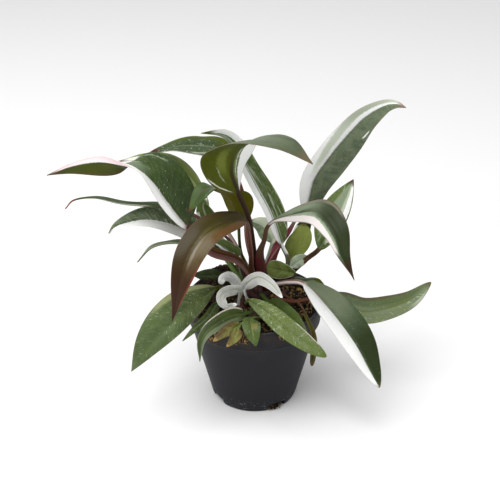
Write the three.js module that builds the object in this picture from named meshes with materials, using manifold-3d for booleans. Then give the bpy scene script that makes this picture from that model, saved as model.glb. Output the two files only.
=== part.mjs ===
// A potted red anderson philodendron: a clump of young plants with lance-shaped, half-white
// leaves on maroon stalks, in a small tapered nursery pot. Millimetres, +Z up, the pot's base
// centre at the origin and the plant's showing side towards -Y.
import * as THREE from "three";
import { mergeVertices } from "three/addons/utils/BufferGeometryUtils.js";
import Module from "manifold-3d";

const wasm = await Module();
wasm.setup();

// Driving dimensions
const POT_HEIGHT = 48;
const RIM_RADIUS = 30;
const BASE_RADIUS = 19;
const BAND_HEIGHT = 9;
const BAND_STEP = 0.9;
const WALL = 1.2;
const FLOOR_FILLET = 1.2;
const CLEARANCE = 0.3;
const POT_SEGMENTS = 36;

// Drain notches are cut through the corner where the wall meets the floor
const NOTCH_COUNT = 4;
const NOTCH_FIRST_ANGLE = -59;
const NOTCH_WIDTH = 9;
const NOTCH_HEIGHT = 3.6;
const NOTCH_DEPTH = 4.5;

// The soil fills the pot to SOIL_LEVEL and heaps up towards the back left
const SOIL_LEVEL = 45.8;
const SOIL_HEAP = { x: -16, y: 18, height: 6.5, spread: 9 };
const SOIL_RINGS = 4;

// Half the blade's thickness at the midrib and at the margin
const BLADE_HALF = 0.38;
const MARGIN_HALF = 0.3;
const TIP_RADIUS = 0.18;
const NECK_BLEND = 0.06;
const LOBE_REACH = 0.35;

// Resolution of a leaf: points across one half of the blade, rings along the stalk and the blade
const HALF_POINTS = 2;
const STALK_RINGS = 4;
const BLADE_RINGS = 11;
const SMALL_BLADE_RINGS = 8;
const SMALL_LEAF_LENGTH = 32;
const CURVE_SAMPLES = 24;

// Each crown is the short stem of one young plant: its place at soil level, half-widths, top, and
// how far it leans away from the pot's axis
const CROWNS = [
  { name: "crown_main", x: 1.5, y: 9.2, rx: 7.8, ry: 9.4, top: 53.5, lean: 0 },
  { name: "crown_front", x: -6, y: -4.2, rx: 3.6, ry: 4.2, top: 50.5, lean: 6 },
  { name: "crown_right", x: 12.8, y: 2, rx: 2.1, ry: 2.3, top: 51, lean: 4 },
  { name: "crown_back_right", x: 16.2, y: 17.2, rx: 3.6, ry: 3.6, top: 51, lean: 15 },
  { name: "crown_left", x: -12.6, y: 6, rx: 2.6, ry: 5.4, top: 50, lean: 4 },
  { name: "crown_rim", x: 0.2, y: -14.4, rx: 3.8, ry: 3.6, top: 49.5, lean: 0 },
];
const CROWN_FOOT = 36;
const CROWN_SEGMENTS = 12;
const CROWN_LUMPS = 0.07;

const COLOURS = {
  pot: 0x3b3c3f,
  soil: 0x3a2a1d,
  crown: 0x6a3b2a,
  green: 0x4f6b43,
  olive: 0x6d7a2c,
  bronze: 0x6b4a36,
  cream: 0xd9dacb,
  withered: 0x9a8450,
};

// Every leaf is one grown piece, a stalk and its blade. "path" runs from the root along the
// stalk and the midrib to the tip, and "neck" is the point where the blade starts. "heading" is
// the compass angle the leaf points to, "width" the left and right half-widths, and "roll" turns
// the blade about its midrib at even steps from neck to tip. "shape" holds the two exponents of
// the outline, "fold" and "curl" bend the halves up and back down, "lobe" drops the base corners
// behind the neck, "stalk" lists the stalk's half-widths from root to neck, "flat" squashes it.
const LEAF_DEFAULTS = {
  shape: [0.55, 0.95], fold: [20, 8], curl: [-25, -15], lobe: 0, flat: 0.9, colour: "green",
};
const LEAVES = [
  {
    "name": "leaf_crest", "heading": -45, "neck": 3, "width": [11, 12.5],
    "path": [[2.5, 10, 51], [0, 8, 64.5], [-2.5, 2, 85.5], [-7, -6, 101.5], [-9.5, -12, 113.5],
      [-7.5, -19, 124], [0, -28, 132.5], [11.5, -34, 133.5], [21, -39, 127.5]],
    "stalk": [1.4, 1.1], "roll": [0, -15, -5, -5, -5], "shape": [0.8, 1.1], "fold": [28, 22, 10, 5],
    "curl": [-20, -15]
  },
  {
    "name": "leaf_right_arch", "heading": -40, "neck": 3, "width": [5.4, 6.6],
    "path": [[5, 4.5, 50], [2, 4, 66], [4, 1, 76], [6.5, -3, 86], [18.5, -11, 94.5],
      [26.5, -20, 99], [32, -28, 95], [35, -33, 86.5], [39, -36, 77]],
    "stalk": [2, 2.6, 1.4, 1.1], "roll": [15, 20, 30, 45, 50], "shape": [1.25, 1.55], "lobe": 1
  },
  {
    "name": "leaf_bronze", "colour": "bronze", "heading": -130, "neck": 2, "width": [5.6, 6.2],
    "path": [[-1.5, 6.5, 50], [-1.5, 2, 71.5], [-3.5, -4, 87], [-10, -12, 91], [-18.5, -20, 90.5],
      [-25, -27, 85], [-29, -32, 75.5], [-33.5, -35, 57]],
    "stalk": [1.5, 1.1], "roll": [-50, -20, -30, -40], "shape": [0.95, 1.35]
  },
  {
    "name": "leaf_left_banner", "heading": -175, "neck": 3, "width": [2.3, 12.6],
    "path": [[1, 1.5, 51], [-6.5, -1, 66.5], [-19, -4, 73.5], [-28.5, -7, 86.5], [-35, -9, 97],
      [-41.5, -11, 108.5], [-47.5, -11.5, 114.5], [-55, -10, 116], [-63.5, -7, 115.5],
      [-74, -6, 113], [-84.5, -5, 108.5]],
    "stalk": [1.8, 2.6, 1.5], "roll": [-50, -55, -45, 15, 75, 90, 95], "shape": [0.5, 1.2],
    "fold": [20, 15, 10], "curl": [-10, -15], "flat": 0.5
  },
  {
    "name": "leaf_left_shade", "colour": "olive", "heading": 175, "neck": 3, "width": [7, 5.5],
    "path": [[-0.5, 14.5, 50], [-6, 17, 60.5], [-11.5, 20, 69.5], [-20.5, 23, 80.5],
      [-27, 22, 94.5], [-36.5, 19, 105], [-47.5, 15, 108], [-58, 12, 107.5]],
    "stalk": [1.2, 1], "roll": [-5, 0, 0], "fold": [20, 10]
  },
  {
    "name": "leaf_left_ribbon", "heading": -175, "neck": 3, "width": [3.5, 3.5],
    "path": [[-3.5, 10, 50], [-8, 10, 65.5], [-12.5, 10, 73], [-27, 7, 85.5], [-40, 2, 91],
      [-55.5, -1, 94], [-66, -3, 97.5], [-74.5, -4, 97], [-78.5, -5, 93.5]],
    "stalk": [1, 0.8], "roll": [10, 20, 5], "shape": [0.5, 1.5], "fold": [30, 30]
  },
  {
    "name": "leaf_left_pale_edge", "heading": -165, "neck": 2, "width": [3.7, 7.8],
    "path": [[-5.5, 6, 50], [-8, 7, 62], [-15, 9, 66.5], [-24, 9, 73], [-32.5, 7.5, 78.5],
      [-40.5, 4, 83], [-48.5, 1, 85], [-57.5, -2, 84], [-61.5, -4, 81.5]],
    "stalk": [1.2, 0.9], "roll": [-65, -50, -45], "fold": [25, 20]
  },
  {
    "name": "leaf_left_narrow", "heading": -165, "neck": 4, "width": [2.6, 0.9],
    "path": [[-6.5, -3, 48.5], [-6, 0, 55.5], [-8, 1.5, 60], [-13.5, 3, 67.5], [-21, 4, 70.5],
      [-33.5, -1, 75.5], [-43, -6, 76], [-49.5, -9, 70.5]],
    "stalk": [0.9, 1.7, 1.6, 1.2], "roll": [-20, 0, 5], "shape": [0.5, 0.8], "fold": [40, 40]
  },
  {
    "name": "leaf_back_left", "heading": 160, "neck": 3, "width": [7, 5.5],
    "path": [[2, 14, 49], [-3, 20, 66], [-4, 28, 80], [-9, 31, 95.5], [-14.5, 29, 106],
      [-23.5, 25, 109.5], [-34.5, 20, 111], [-45, 15, 110]],
    "stalk": [1.6, 1], "roll": [-10], "shape": [0.5, 0.8], "fold": [15, 15]
  },
  {
    "name": "leaf_olive_arch", "colour": "olive", "heading": -135, "neck": 2, "width": [8, 5.5],
    "path": [[-1, 11.5, 51], [-6, 12, 64.5], [-7, 10, 79.5], [-8, 7, 87.5], [-10, 4, 94],
      [-15, -1, 99.5], [-20.5, -7, 103], [-27, -12, 95]],
    "stalk": [0.7, 0.7], "roll": [35, 20, 0, 0], "shape": [0.5, 0.8], "fold": [20, 15, 15],
    "curl": [10, 0], "lobe": 1
  },
  {
    "name": "leaf_striped", "heading": 110, "neck": 2, "width": [2.4, 7.8],
    "path": [[15, 17.5, 50], [15, 18, 58], [12, 19, 65], [7.5, 20, 79.5], [1.5, 20, 92],
      [-3.5, 18, 103], [-8, 15, 113], [-13.5, 11, 120], [-22, 6, 122.5]],
    "stalk": [1.2, 0.9], "roll": [-40, -40, -30, 60], "shape": [0.65, 1.1], "fold": [25, 25]
  },
  {
    "name": "leaf_tall_right", "heading": -30, "neck": 4, "width": [5.8, 8.5],
    "path": [[4.5, 13, 50], [9.5, 20, 62], [15.5, 24, 68.5], [19, 27, 73.5], [23.5, 28, 79.5],
      [26, 24, 94], [31.5, 18, 107], [37.5, 10, 119.5], [43.5, 1, 131], [50, -8, 139],
      [54, -13, 141.5], [57, -17, 141.5]],
    "stalk": [2, 2.7, 1.8, 0.8, 0.9], "roll": [125, 115, 105, 65], "shape": [0.5, 0.9],
    "fold": [25, 25, 15], "lobe": 2
  },
  {
    "name": "leaf_right_upright", "heading": 40, "neck": 2, "width": [7.5, 4],
    "path": [[16.5, 18.5, 50], [23.5, 18, 57.5], [29, 15, 64.5], [34, 15, 75], [39, 15, 87.5],
      [42.5, 15, 98]],
    "stalk": [1.3, 1.1], "roll": [35, 35, 40], "shape": [0.85, 1]
  },
  {
    "name": "leaf_back_right", "colour": "olive", "heading": 50, "neck": 1, "width": [4.6, 4.6],
    "path": [[14, 20, 50], [16, 23, 55], [18.5, 24, 60], [21.5, 25, 65], [22.5, 27, 71]],
    "stalk": [1, 0.9], "roll": [30, 30, 35], "shape": [0.6, 0.6]
  },
  {
    "name": "leaf_back_flecked", "heading": 20, "neck": 1, "width": [3.5, 3.5],
    "path": [[18.5, 20.5, 50], [22, 33, 54.5], [21.5, 36, 59], [23, 37, 64], [26.5, 36, 70]],
    "stalk": [0.9, 0.7], "roll": [50, 60, 55], "shape": [0.5, 0.8]
  },
  {
    "name": "leaf_small_green", "heading": 170, "neck": 1, "width": [3.6, 3.8],
    "path": [[14, 15, 50], [18, 12, 53.5], [11.5, 10, 56], [5.5, 9, 58.5]],
    "stalk": [0.7, 0.6], "roll": [-50, -60, -60], "shape": [0.9, 0.4]
  },
  {
    "name": "leaf_back_sage", "heading": 170, "neck": 1, "width": [4, 4.5],
    "path": [[4, 18, 51], [8, 26, 61.5], [7, 28, 65], [3.5, 30, 68.5], [-2.5, 30, 71]],
    "stalk": [1, 0.8], "roll": [-85, -65, -60]
  },
  {
    "name": "leaf_back_cream", "colour": "cream", "heading": 30, "neck": 1, "width": [2.4, 2.4],
    "path": [[14, 14.5, 50], [17, 17, 54], [20, 18, 56.5], [24.5, 19, 58]],
    "stalk": [0.8, 0.7], "roll": [50, 50, 55], "shape": [0.6, 0.6]
  },
  {
    "name": "leaf_inner_striped", "heading": -160, "neck": 1, "width": [3, 3],
    "path": [[-4.5, 4.5, 50], [-7.5, 4.5, 66], [-11, 3.5, 69.5], [-15, 1.5, 73.5],
      [-19.5, -0.5, 77]],
    "stalk": [0.9, 0.7], "roll": [-95, -80, -75]
  },
  {
    "name": "leaf_inner_left", "heading": 175, "neck": 2, "width": [3.6, 3.6],
    "path": [[-4, 12.5, 50], [-9.5, 14, 64], [-18, 16, 73], [-21.5, 16, 80.5], [-22.5, 15, 86],
      [-20.5, 14, 89.5]],
    "stalk": [0.9, 0.7], "roll": [-70, -75, -100]
  },
  {
    "name": "leaf_low_right", "heading": -35, "neck": 2, "width": [9, 5.5],
    "path": [[8, 8, 50], [15.5, -1, 56.5], [21.5, -5, 57.5], [29, -12, 52.5], [36, -19, 46.5],
      [42.5, -25, 39], [48, -30, 30.5], [52.5, -34, 24]],
    "stalk": [1.3, 1.1], "roll": [20, 25, 30], "shape": [0.7, 0.8], "fold": [28, 25]
  },
  {
    "name": "leaf_right_wing", "heading": 5, "neck": 3, "width": [5.5, 5],
    "path": [[8.5, -1, 49], [16, -6, 49.5], [23, -9, 52.5], [29.5, -8, 52.5], [38.5, -1, 45.5],
      [48.5, 4, 38.5], [59, 7, 38], [70.5, 9, 41.5], [79.5, 11, 49.5]],
    "stalk": [0.9, 0.9], "roll": [60, 55, 60], "shape": [0.6, 0.7]
  },
  {
    "name": "leaf_rim_curl", "colour": "withered", "heading": 0, "neck": 1, "width": [0.9, 1.1],
    "path": [[13, 11, 48.5], [18.5, 12, 50.5], [22.5, 11, 50], [26, 10, 51], [28.5, 9, 51],
      [31.5, 8, 48.5]],
    "stalk": [0.7, 0.7], "roll": [60, 60, 70], "shape": [0.5, 0.4]
  },
  {
    "name": "leaf_front_right", "heading": -45, "neck": 1, "width": [3.6, 3.8],
    "path": [[-3.5, -6, 49], [-2, -13, 54], [5.5, -23, 54.5], [13, -33, 53], [20.5, -40, 50.5],
      [28.5, -45, 47]],
    "stalk": [1.2, 0.9], "roll": [50, 40, 45], "shape": [0.8, 0.65]
  },
  {
    "name": "leaf_front_under", "heading": -40, "neck": 1, "width": [3.6, 3.2],
    "path": [[3, 1, 49], [6, -7, 50], [11.5, -16, 50.5], [17, -24, 50.5], [22, -30, 47.5]],
    "stalk": [1, 0.8], "roll": [40, 45, 45]
  },
  {
    "name": "leaf_front_left", "heading": -160, "neck": 1, "width": [2.8, 2.8],
    "path": [[0, -11.5, 48], [-4.5, -21, 52.5], [-9.5, -25, 54], [-14.5, -30, 54],
      [-19.5, -34, 52], [-22, -36.5, 48], [-22.5, -38, 40]],
    "stalk": [1, 0.8], "roll": [-45, -40, -60], "shape": [0.5, 1.2]
  },
  {
    "name": "leaf_withered", "colour": "withered", "heading": -120, "neck": 1, "width": [2, 2.2],
    "path": [[-2, -16.5, 48], [-6, -26.5, 50.5], [-11.5, -33, 51.5], [-17, -36, 48.5]],
    "stalk": [0.8, 0.6], "roll": [-50, -50, -35], "shape": [0.5, 0.8]
  },
  {
    "name": "withered_lobe", "colour": "withered", "heading": -100, "neck": 1, "width": [2, 1.6],
    "path": [[-5.5, -25, 50.5], [-7, -30.5, 51], [-8, -34.5, 50], [-11.5, -37, 46.5]],
    "stalk": [0.6, 0.6], "roll": [-20, -15, -10], "shape": [0.5, 0.9]
  },
  {
    "name": "leaf_front_small", "heading": -85, "neck": 1, "width": [3.3, 3.3],
    "path": [[2.5, -16.5, 48], [-1.5, -25, 52.5], [-1, -32, 51], [0.5, -35, 45.5]],
    "stalk": [0.8, 0.6], "roll": [-20, 10, 5]
  },
  {
    "name": "leaf_low_left", "heading": -140, "neck": 1, "width": [5, 9.5],
    "path": [[-12, 6, 49], [-17, -6, 56], [-24.5, -17, 56], [-32.5, -27, 53.5], [-42, -34, 46],
      [-50.5, -40, 36.5]],
    "stalk": [1, 0.9], "roll": [-50, -45, -45], "shape": [1.1, 1.1]
  },
  {
    "name": "leaf_low_left_under", "heading": -135, "neck": 1, "width": [1.9, 1.5],
    "path": [[-12, 2, 48], [-16, -9, 50.5], [-19.5, -20, 50.5], [-24.5, -29, 50.5],
      [-29.5, -35, 48]],
    "stalk": [0.8, 0.6], "roll": [-30, -40, -40]
  },
  {
    "name": "leaf_on_soil", "heading": 170, "neck": 1, "width": [2.5, 2.5],
    "path": [[-13.5, 12, 49], [-15, 12, 52.5], [-21, 13, 52], [-28, 14, 51.5]],
    "stalk": [0.6, 0.5], "roll": [-70, -70, -70]
  },
  {
    "name": "leaf_white_hook", "colour": "cream", "heading": -150, "neck": 1, "width": [1.7, 1.7],
    "path": [[-7, -5, 48.5], [-6, -3.5, 52.5], [-8.5, -4, 58.5], [-11, -6, 62], [-13.5, -9, 63],
      [-14.5, -11, 61]],
    "stalk": [0.8, 0.7], "roll": [-110, -90, -50], "shape": [0.4, 0.3]
  },
  {
    "name": "leaf_white_curl", "colour": "cream", "heading": -150, "neck": 1, "width": [1.7, 1.7],
    "path": [[-7, -6.5, 48], [-6.5, -9, 56.5], [-10, -12, 58.5], [-13.5, -15, 58.5],
      [-14, -17, 56.5], [-11.5, -19, 55], [-7.5, -20, 56.5]],
    "stalk": [0.8, 0.7], "roll": [-90, -45, -135], "shape": [0.3, 0.5]
  },
  {
    "name": "leaf_white_arch", "colour": "cream", "heading": -45, "neck": 1, "width": [2.2, 2.4],
    "path": [[-3, -4, 48], [-4.5, -6, 55.5], [-2.5, -8, 60], [2, -12, 64.5], [7, -16, 63.5],
      [11.5, -19, 59]],
    "stalk": [0.8, 0.7], "roll": [130, 65, 40], "shape": [0.5, 0.7]
  },
  {
    "name": "leaf_dry_strip", "colour": "withered", "heading": -35, "neck": 1, "width": [1.2, 1.2],
    "path": [[10, 3.5, 49.5], [18.5, -8, 50], [20.5, -15, 51], [22.5, -25, 51], [24.5, -28.5, 46],
      [24.5, -29.5, 39], [24, -29.5, 32]],
    "stalk": [0.6, 0.5], "roll": [80, 55, 65], "shape": [2.2, 0.5], "fold": [40, 40]
  },
];

// The withered leaf at the rim is split into two lobes that share one stalk
const SPLIT_LEAF = "leaf_withered";
const SPLIT_LOBE = "withered_lobe";

const radians = THREE.MathUtils.degToRad;

function smoothStep(x) {
  const c = THREE.MathUtils.clamp(x, 0, 1);
  return c * c * (3 - 2 * c);
}

// Value at t, 0 to 1, of a smooth curve through evenly spaced values
function along(values, t) {
  if (values.length === 1) return values[0];
  const points = values.map((value, i) => new THREE.Vector3(i, value, 0));
  return new THREE.CatmullRomCurve3(points, false, "catmullrom", 0.5).getPoint(t).y;
}

function solidOf(positions, triangles) {
  const build = (order) => new wasm.Manifold(new wasm.Mesh({
    numProp: 3,
    vertProperties: Float32Array.from(positions),
    triVerts: Uint32Array.from(order),
  }));
  const solid = build(triangles);
  if (solid.volume() > 0) return solid;
  return build([...triangles].reverse());
}

// Joins the doubled vertices of a three.js geometry and drops the triangles that close to a line
function solidOfGeometry(geometry) {
  geometry.deleteAttribute("normal");
  geometry.deleteAttribute("uv");
  const merged = mergeVertices(geometry, 1e-4);
  const index = merged.index.array;
  const triangles = [];
  for (let i = 0; i < index.length; i += 3) {
    const [a, b, c] = [index[i], index[i + 1], index[i + 2]];
    if (a !== b && b !== c && c !== a) triangles.push(a, b, c);
  }
  return solidOf(merged.attributes.position.array, triangles);
}

// Turns a profile of [radius, height] points about the Z axis
function turned(profile, segments) {
  const points = profile.map(([r, z]) => new THREE.Vector2(r, z));
  const geometry = new THREE.LatheGeometry(points, segments);
  geometry.rotateX(Math.PI / 2);
  return geometry;
}

function mapVertices(geometry, change) {
  const position = geometry.attributes.position;
  const point = new THREE.Vector3();
  for (let i = 0; i < position.count; i += 1) {
    point.fromBufferAttribute(position, i);
    change(point);
    position.setXYZ(i, point.x, point.y, point.z);
  }
  return geometry;
}

// Arc length table of a leaf's path
function measuredPath(leaf) {
  const points = leaf.path.map((p) => new THREE.Vector3(...p));
  const curve = new THREE.CatmullRomCurve3(points, false, "catmullrom", 0.5);
  const samples = curve.getPoints((points.length - 1) * CURVE_SAMPLES);
  const lengths = [0];
  for (let i = 1; i < samples.length; i += 1) {
    lengths.push(lengths[i - 1] + samples[i].distanceTo(samples[i - 1]));
  }
  const total = lengths[lengths.length - 1];
  const neck = lengths[leaf.neck * CURVE_SAMPLES];
  function at(length) {
    const target = THREE.MathUtils.clamp(length, 0, total);
    let i = 1;
    while (i < lengths.length - 1 && lengths[i] < target) i += 1;
    const step = (target - lengths[i - 1]) / (lengths[i] - lengths[i - 1]);
    return samples[i - 1].clone().lerp(samples[i], step);
  }
  return { at, total, neck };
}

// Direction of the midrib, of the blade's left and of its upper face at one station
function bladeFrame(leaf, path, length, t) {
  const reach = path.total * 0.012;
  const forward = path.at(length + reach).sub(path.at(length - reach)).normalize();
  const heading = radians(leaf.heading);
  const level = new THREE.Vector3(-Math.sin(heading), Math.cos(heading), 0);
  const side = level.addScaledVector(forward, -forward.dot(level)).normalize();
  const up = forward.clone().cross(side);
  const ease = t < 0 ? smoothStep(length / path.neck) : 1;
  const roll = radians(along(leaf.roll, Math.max(0, t))) * ease;
  const left = side.clone().multiplyScalar(Math.cos(roll)).addScaledVector(up, Math.sin(roll));
  const face = up.clone().multiplyScalar(Math.cos(roll)).addScaledVector(side, -Math.sin(roll));
  return { forward, left, face };
}

// One ring of a leaf. On the stalk it is a flattened round, on the blade a thin bent strip whose
// slope from the midrib out is fold + curl * (share of the half-width), and a keel under the rib.
function leafRing(leaf, path, length, grow) {
  const t = (length - path.neck) / (path.total - path.neck);
  const ahead = THREE.MathUtils.clamp(t, 0, 1);
  const { forward, left, face } = bladeFrame(leaf, path, length, t);
  const [a, b] = leaf.shape;
  const widest = a / (a + b);
  const outline = (ahead / widest) ** a * ((1 - ahead) / (1 - widest)) ** b;
  const neckRadius = leaf.stalk[leaf.stalk.length - 1];
  const rib = neckRadius * 0.9 * (1 - ahead) ** 0.8 + TIP_RADIUS;
  const radius = (t < 0 ? along(leaf.stalk, length / path.neck) : rib) + grow;
  const blade = smoothStep(t / NECK_BLEND + 0.5);
  const fold = radians(along(leaf.fold, ahead));
  const curl = radians(along(leaf.curl, ahead));
  const upper = [];
  const lower = [];
  for (let j = -HALF_POINTS; j <= HALF_POINTS; j += 1) {
    const q = j / HALF_POINTS;
    const hand = Math.sign(q);
    const halfWidth = (q > 0 ? leaf.width[0] : leaf.width[1]) * outline + radius;
    const reach = Math.abs(q) * halfWidth;
    const bend = Math.abs(curl) < 1e-4 ? 1e-4 / halfWidth : curl / halfWidth;
    const slope = fold + bend * reach;
    const x = (hand * (Math.sin(slope) - Math.sin(fold))) / bend;
    const z = (Math.cos(fold) - Math.cos(slope)) / bend;
    const keel = 0.75 * (radius - grow) * Math.exp(-((reach / (0.9 * radius + 0.2)) ** 2));
    const half = MARGIN_HALF + (BLADE_HALF - MARGIN_HALF) * (1 - q * q) + grow;
    const turn = radians(90 * q);
    const round = { x: radius * Math.sin(turn), z: radius * Math.cos(turn) * leaf.flat };
    const lean = { x: -hand * Math.sin(slope), z: Math.cos(slope) };
    const drop = leaf.lobe * Math.abs(q) ** 1.3 * Math.max(0, 1 - ahead / LOBE_REACH) ** 2 * blade;
    const base = path.at(length).addScaledVector(forward, -drop);
    const place = (stalkX, stalkZ, bladeX, bladeZ) => base.clone()
      .addScaledVector(left, THREE.MathUtils.lerp(stalkX, bladeX, blade))
      .addScaledVector(face, THREE.MathUtils.lerp(stalkZ, bladeZ, blade));
    upper.push(place(round.x, round.z * 0.8 + 0.1, x + lean.x * half, z + lean.z * half));
    const under = half + keel;
    lower.push(place(round.x, -round.z - 0.1, x - lean.x * under, z - lean.z * under));
  }
  return [...upper, ...lower.reverse()];
}

// Skins a list of rings, each from the upper right margin over to the left and back underneath.
// Both faces of the blade use the same diagonal of each cell, so its thickness stays even.
function skinned(rings) {
  const count = rings[0].length;
  const across = count / 2;
  const positions = rings.flat().flatMap((point) => point.toArray());
  const triangles = [];
  const at = (row, column) => row * count + (column % count);
  for (let row = 0; row < rings.length - 1; row += 1) {
    for (let j = 0; j < count; j += 1) {
      const corners = [at(row, j), at(row, j + 1), at(row + 1, j + 1), at(row + 1, j)];
      const [p, q, r, s] = corners;
      if (j < across) triangles.push(p, s, q, q, s, r);
      else triangles.push(p, r, q, p, s, r);
    }
  }
  for (let j = 0; j < across - 1; j += 1) {
    const first = [at(0, j), at(0, j + 1), at(0, count - 2 - j), at(0, count - 1 - j)];
    triangles.push(first[0], first[1], first[2], first[0], first[2], first[3]);
    const last = first.map((id) => id + (rings.length - 1) * count);
    triangles.push(last[2], last[1], last[0], last[3], last[2], last[0]);
  }
  return solidOf(positions, triangles);
}

function leafBody(leaf, grow) {
  const path = measuredPath(leaf);
  const bladeLength = path.total - path.neck;
  const bladeRings = bladeLength < SMALL_LEAF_LENGTH ? SMALL_BLADE_RINGS : BLADE_RINGS;
  const stations = [];
  for (let i = 0; i < STALK_RINGS; i += 1) stations.push((path.neck * i) / STALK_RINGS);
  for (let i = 0; i < bladeRings; i += 1) {
    stations.push(path.neck + (bladeLength * i) / (bladeRings - 1));
  }
  return skinned(stations.map((length) => leafRing(leaf, path, length, grow)));
}

function leafSolids() {
  const leaves = LEAVES.map((leaf) => ({ ...LEAF_DEFAULTS, ...leaf }));
  const lobe = leaves.find((leaf) => leaf.name === SPLIT_LOBE);
  return leaves.filter((leaf) => leaf !== lobe).map((leaf) => {
    const body = (grow) => {
      const whole = leafBody(leaf, grow);
      return leaf.name === SPLIT_LEAF ? whole.add(leafBody(lobe, grow)) : whole;
    };
    return { name: leaf.name, colour: leaf.colour, solid: body(0), cutter: body(CLEARANCE) };
  });
}

// A short lumpy stem, sunk in the soil
function crownBody(crown, grow) {
  const profile = [
    [0, CROWN_FOOT - grow], [0.6, CROWN_FOOT - grow], [0.9, 41], [1, SOIL_LEVEL], [0.9, crown.top - 3],
    [0.6, crown.top - 1 + grow], [0, crown.top + grow],
  ];
  const outward = Math.hypot(crown.x, crown.y);
  const geometry = mapVertices(turned(profile, CROWN_SEGMENTS), (p) => {
    const share = Math.hypot(p.x, p.y);
    const lump = 1 + CROWN_LUMPS * share * Math.sin(3 * Math.atan2(p.y, p.x) + 0.4 * p.z);
    const shift = (p.z - SOIL_LEVEL) * Math.tan(radians(crown.lean));
    p.x = crown.x + p.x * (crown.rx * lump + grow) + (shift * crown.x) / outward;
    p.y = crown.y + p.y * (crown.ry * lump + grow) + (shift * crown.y) / outward;
  });
  return solidOfGeometry(geometry);
}

function soilHeight(x, y) {
  const { x: hx, y: hy, height, spread } = SOIL_HEAP;
  const far = ((x - hx) ** 2 + (y - hy) ** 2) / (2 * spread ** 2);
  return SOIL_LEVEL + height * Math.exp(-far);
}

// Inner radius of the pot at a height
function potInside(z) {
  const top = RIM_RADIUS - BAND_STEP - WALL;
  const foot = BASE_RADIUS - WALL;
  return foot + ((top - foot) * z) / POT_HEIGHT;
}

function soilBody() {
  const foot = WALL + CLEARANCE;
  const wallTop = SOIL_LEVEL - 0.6;
  const edge = potInside(wallTop) - CLEARANCE;
  const fillet = foot + FLOOR_FILLET;
  const profile = [
    [0, foot], [potInside(WALL) - FLOOR_FILLET - CLEARANCE, foot],
    [potInside(fillet) - CLEARANCE, fillet], [edge, wallTop],
  ];
  for (let i = 1; i <= SOIL_RINGS; i += 1) profile.push([edge * (1 - i / SOIL_RINGS), SOIL_LEVEL]);
  const geometry = mapVertices(turned(profile, POT_SEGMENTS), (p) => {
    if (p.z > wallTop - 0.1) p.z += soilHeight(p.x, p.y) - SOIL_LEVEL;
  });
  return solidOfGeometry(geometry);
}

function notchCutter(angle) {
  const shape = new THREE.Shape();
  const half = NOTCH_WIDTH / 2;
  shape.moveTo(-half, -1);
  shape.lineTo(half, -1);
  shape.lineTo(half, NOTCH_HEIGHT - 2);
  shape.quadraticCurveTo(half, NOTCH_HEIGHT, half - 2, NOTCH_HEIGHT);
  shape.lineTo(2 - half, NOTCH_HEIGHT);
  shape.quadraticCurveTo(-half, NOTCH_HEIGHT, -half, NOTCH_HEIGHT - 2);
  shape.closePath();
  const depth = NOTCH_DEPTH + 2;
  const geometry = new THREE.ExtrudeGeometry(shape, { depth, bevelEnabled: false, curveSegments: 3 });
  geometry.rotateX(Math.PI / 2);
  geometry.translate(0, BASE_RADIUS + 2, 0);
  geometry.rotateZ(radians(angle - 90));
  return solidOfGeometry(geometry);
}

function potBody() {
  const band = POT_HEIGHT - BAND_HEIGHT;
  const bandFoot = RIM_RADIUS - 0.7;
  const under = RIM_RADIUS - BAND_STEP - 0.5;
  const inside = (z) => [potInside(z), z];
  const profile = [
    [0, 0], [BASE_RADIUS - 0.8, 0], [BASE_RADIUS, 0.8], [under, band - 0.3],
    [bandFoot, band], [RIM_RADIUS, POT_HEIGHT - 0.5], [RIM_RADIUS - 0.4, POT_HEIGHT],
    [RIM_RADIUS - 1.4, POT_HEIGHT], inside(POT_HEIGHT - 1.5), inside(band),
    inside(WALL + FLOOR_FILLET), [potInside(WALL) - FLOOR_FILLET, WALL], [0, WALL],
  ];
  let pot = solidOfGeometry(turned(profile, POT_SEGMENTS));
  for (let i = 0; i < NOTCH_COUNT; i += 1) {
    pot = pot.subtract(notchCutter(NOTCH_FIRST_ANGLE + (360 / NOTCH_COUNT) * i));
  }
  return pot;
}

// Cuts every solid that a cutter touches, and keeps the largest piece of what is left
function cutClear(solid, cutters) {
  let rest = solid;
  for (const cutter of cutters) {
    if (!rest.intersect(cutter).isEmpty()) rest = rest.subtract(cutter);
  }
  const pieces = rest.decompose();
  return pieces.reduce((best, piece) => (piece.volume() > best.volume() ? piece : best));
}

const group = new THREE.Group();
group.name = "potted_philodendron";

function addPiece(name, solid, colour, roughness) {
  const mesh = solid.getMesh();
  const geometry = new THREE.BufferGeometry();
  const position = new THREE.BufferAttribute(Float32Array.from(mesh.vertProperties), 3);
  geometry.setAttribute("position", position);
  geometry.setIndex([...mesh.triVerts]);
  geometry.computeVertexNormals();
  const material = new THREE.MeshStandardMaterial({ color: COLOURS[colour], roughness, metalness: 0 });
  material.name = colour;
  const piece = new THREE.Mesh(geometry, material);
  piece.name = name;
  group.add(piece);
}

const leaves = leafSolids();
leaves.forEach((leaf, i) => {
  const earlier = leaves.slice(0, i).map((other) => other.cutter);
  addPiece(leaf.name, cutClear(leaf.solid, earlier), leaf.colour, 0.45);
});

const leafCutters = leaves.map((leaf) => leaf.cutter);
for (const crown of CROWNS) {
  addPiece(crown.name, cutClear(crownBody(crown, 0), leafCutters), "crown", 0.7);
}

const crownCutters = CROWNS.map((crown) => crownBody(crown, CLEARANCE));
addPiece("soil", cutClear(soilBody(), [...crownCutters, ...leafCutters]), "soil", 1);
addPiece("pot", potBody(), "pot", 0.6);

export default group;
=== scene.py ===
# %% [markdown]
# # A potted variegated philodendron
# The real object is a clump of young plants in a small tapered nursery pot. Each leaf is one
# grown piece: a maroon or olive stalk that runs on as the midrib of a lance-shaped blade, half
# of it often white. The packed model gives every piece at its real size. Here each piece gets
# its fine form and its finish, in the same frame, so nothing has to be fitted afterwards.

import math

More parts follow.
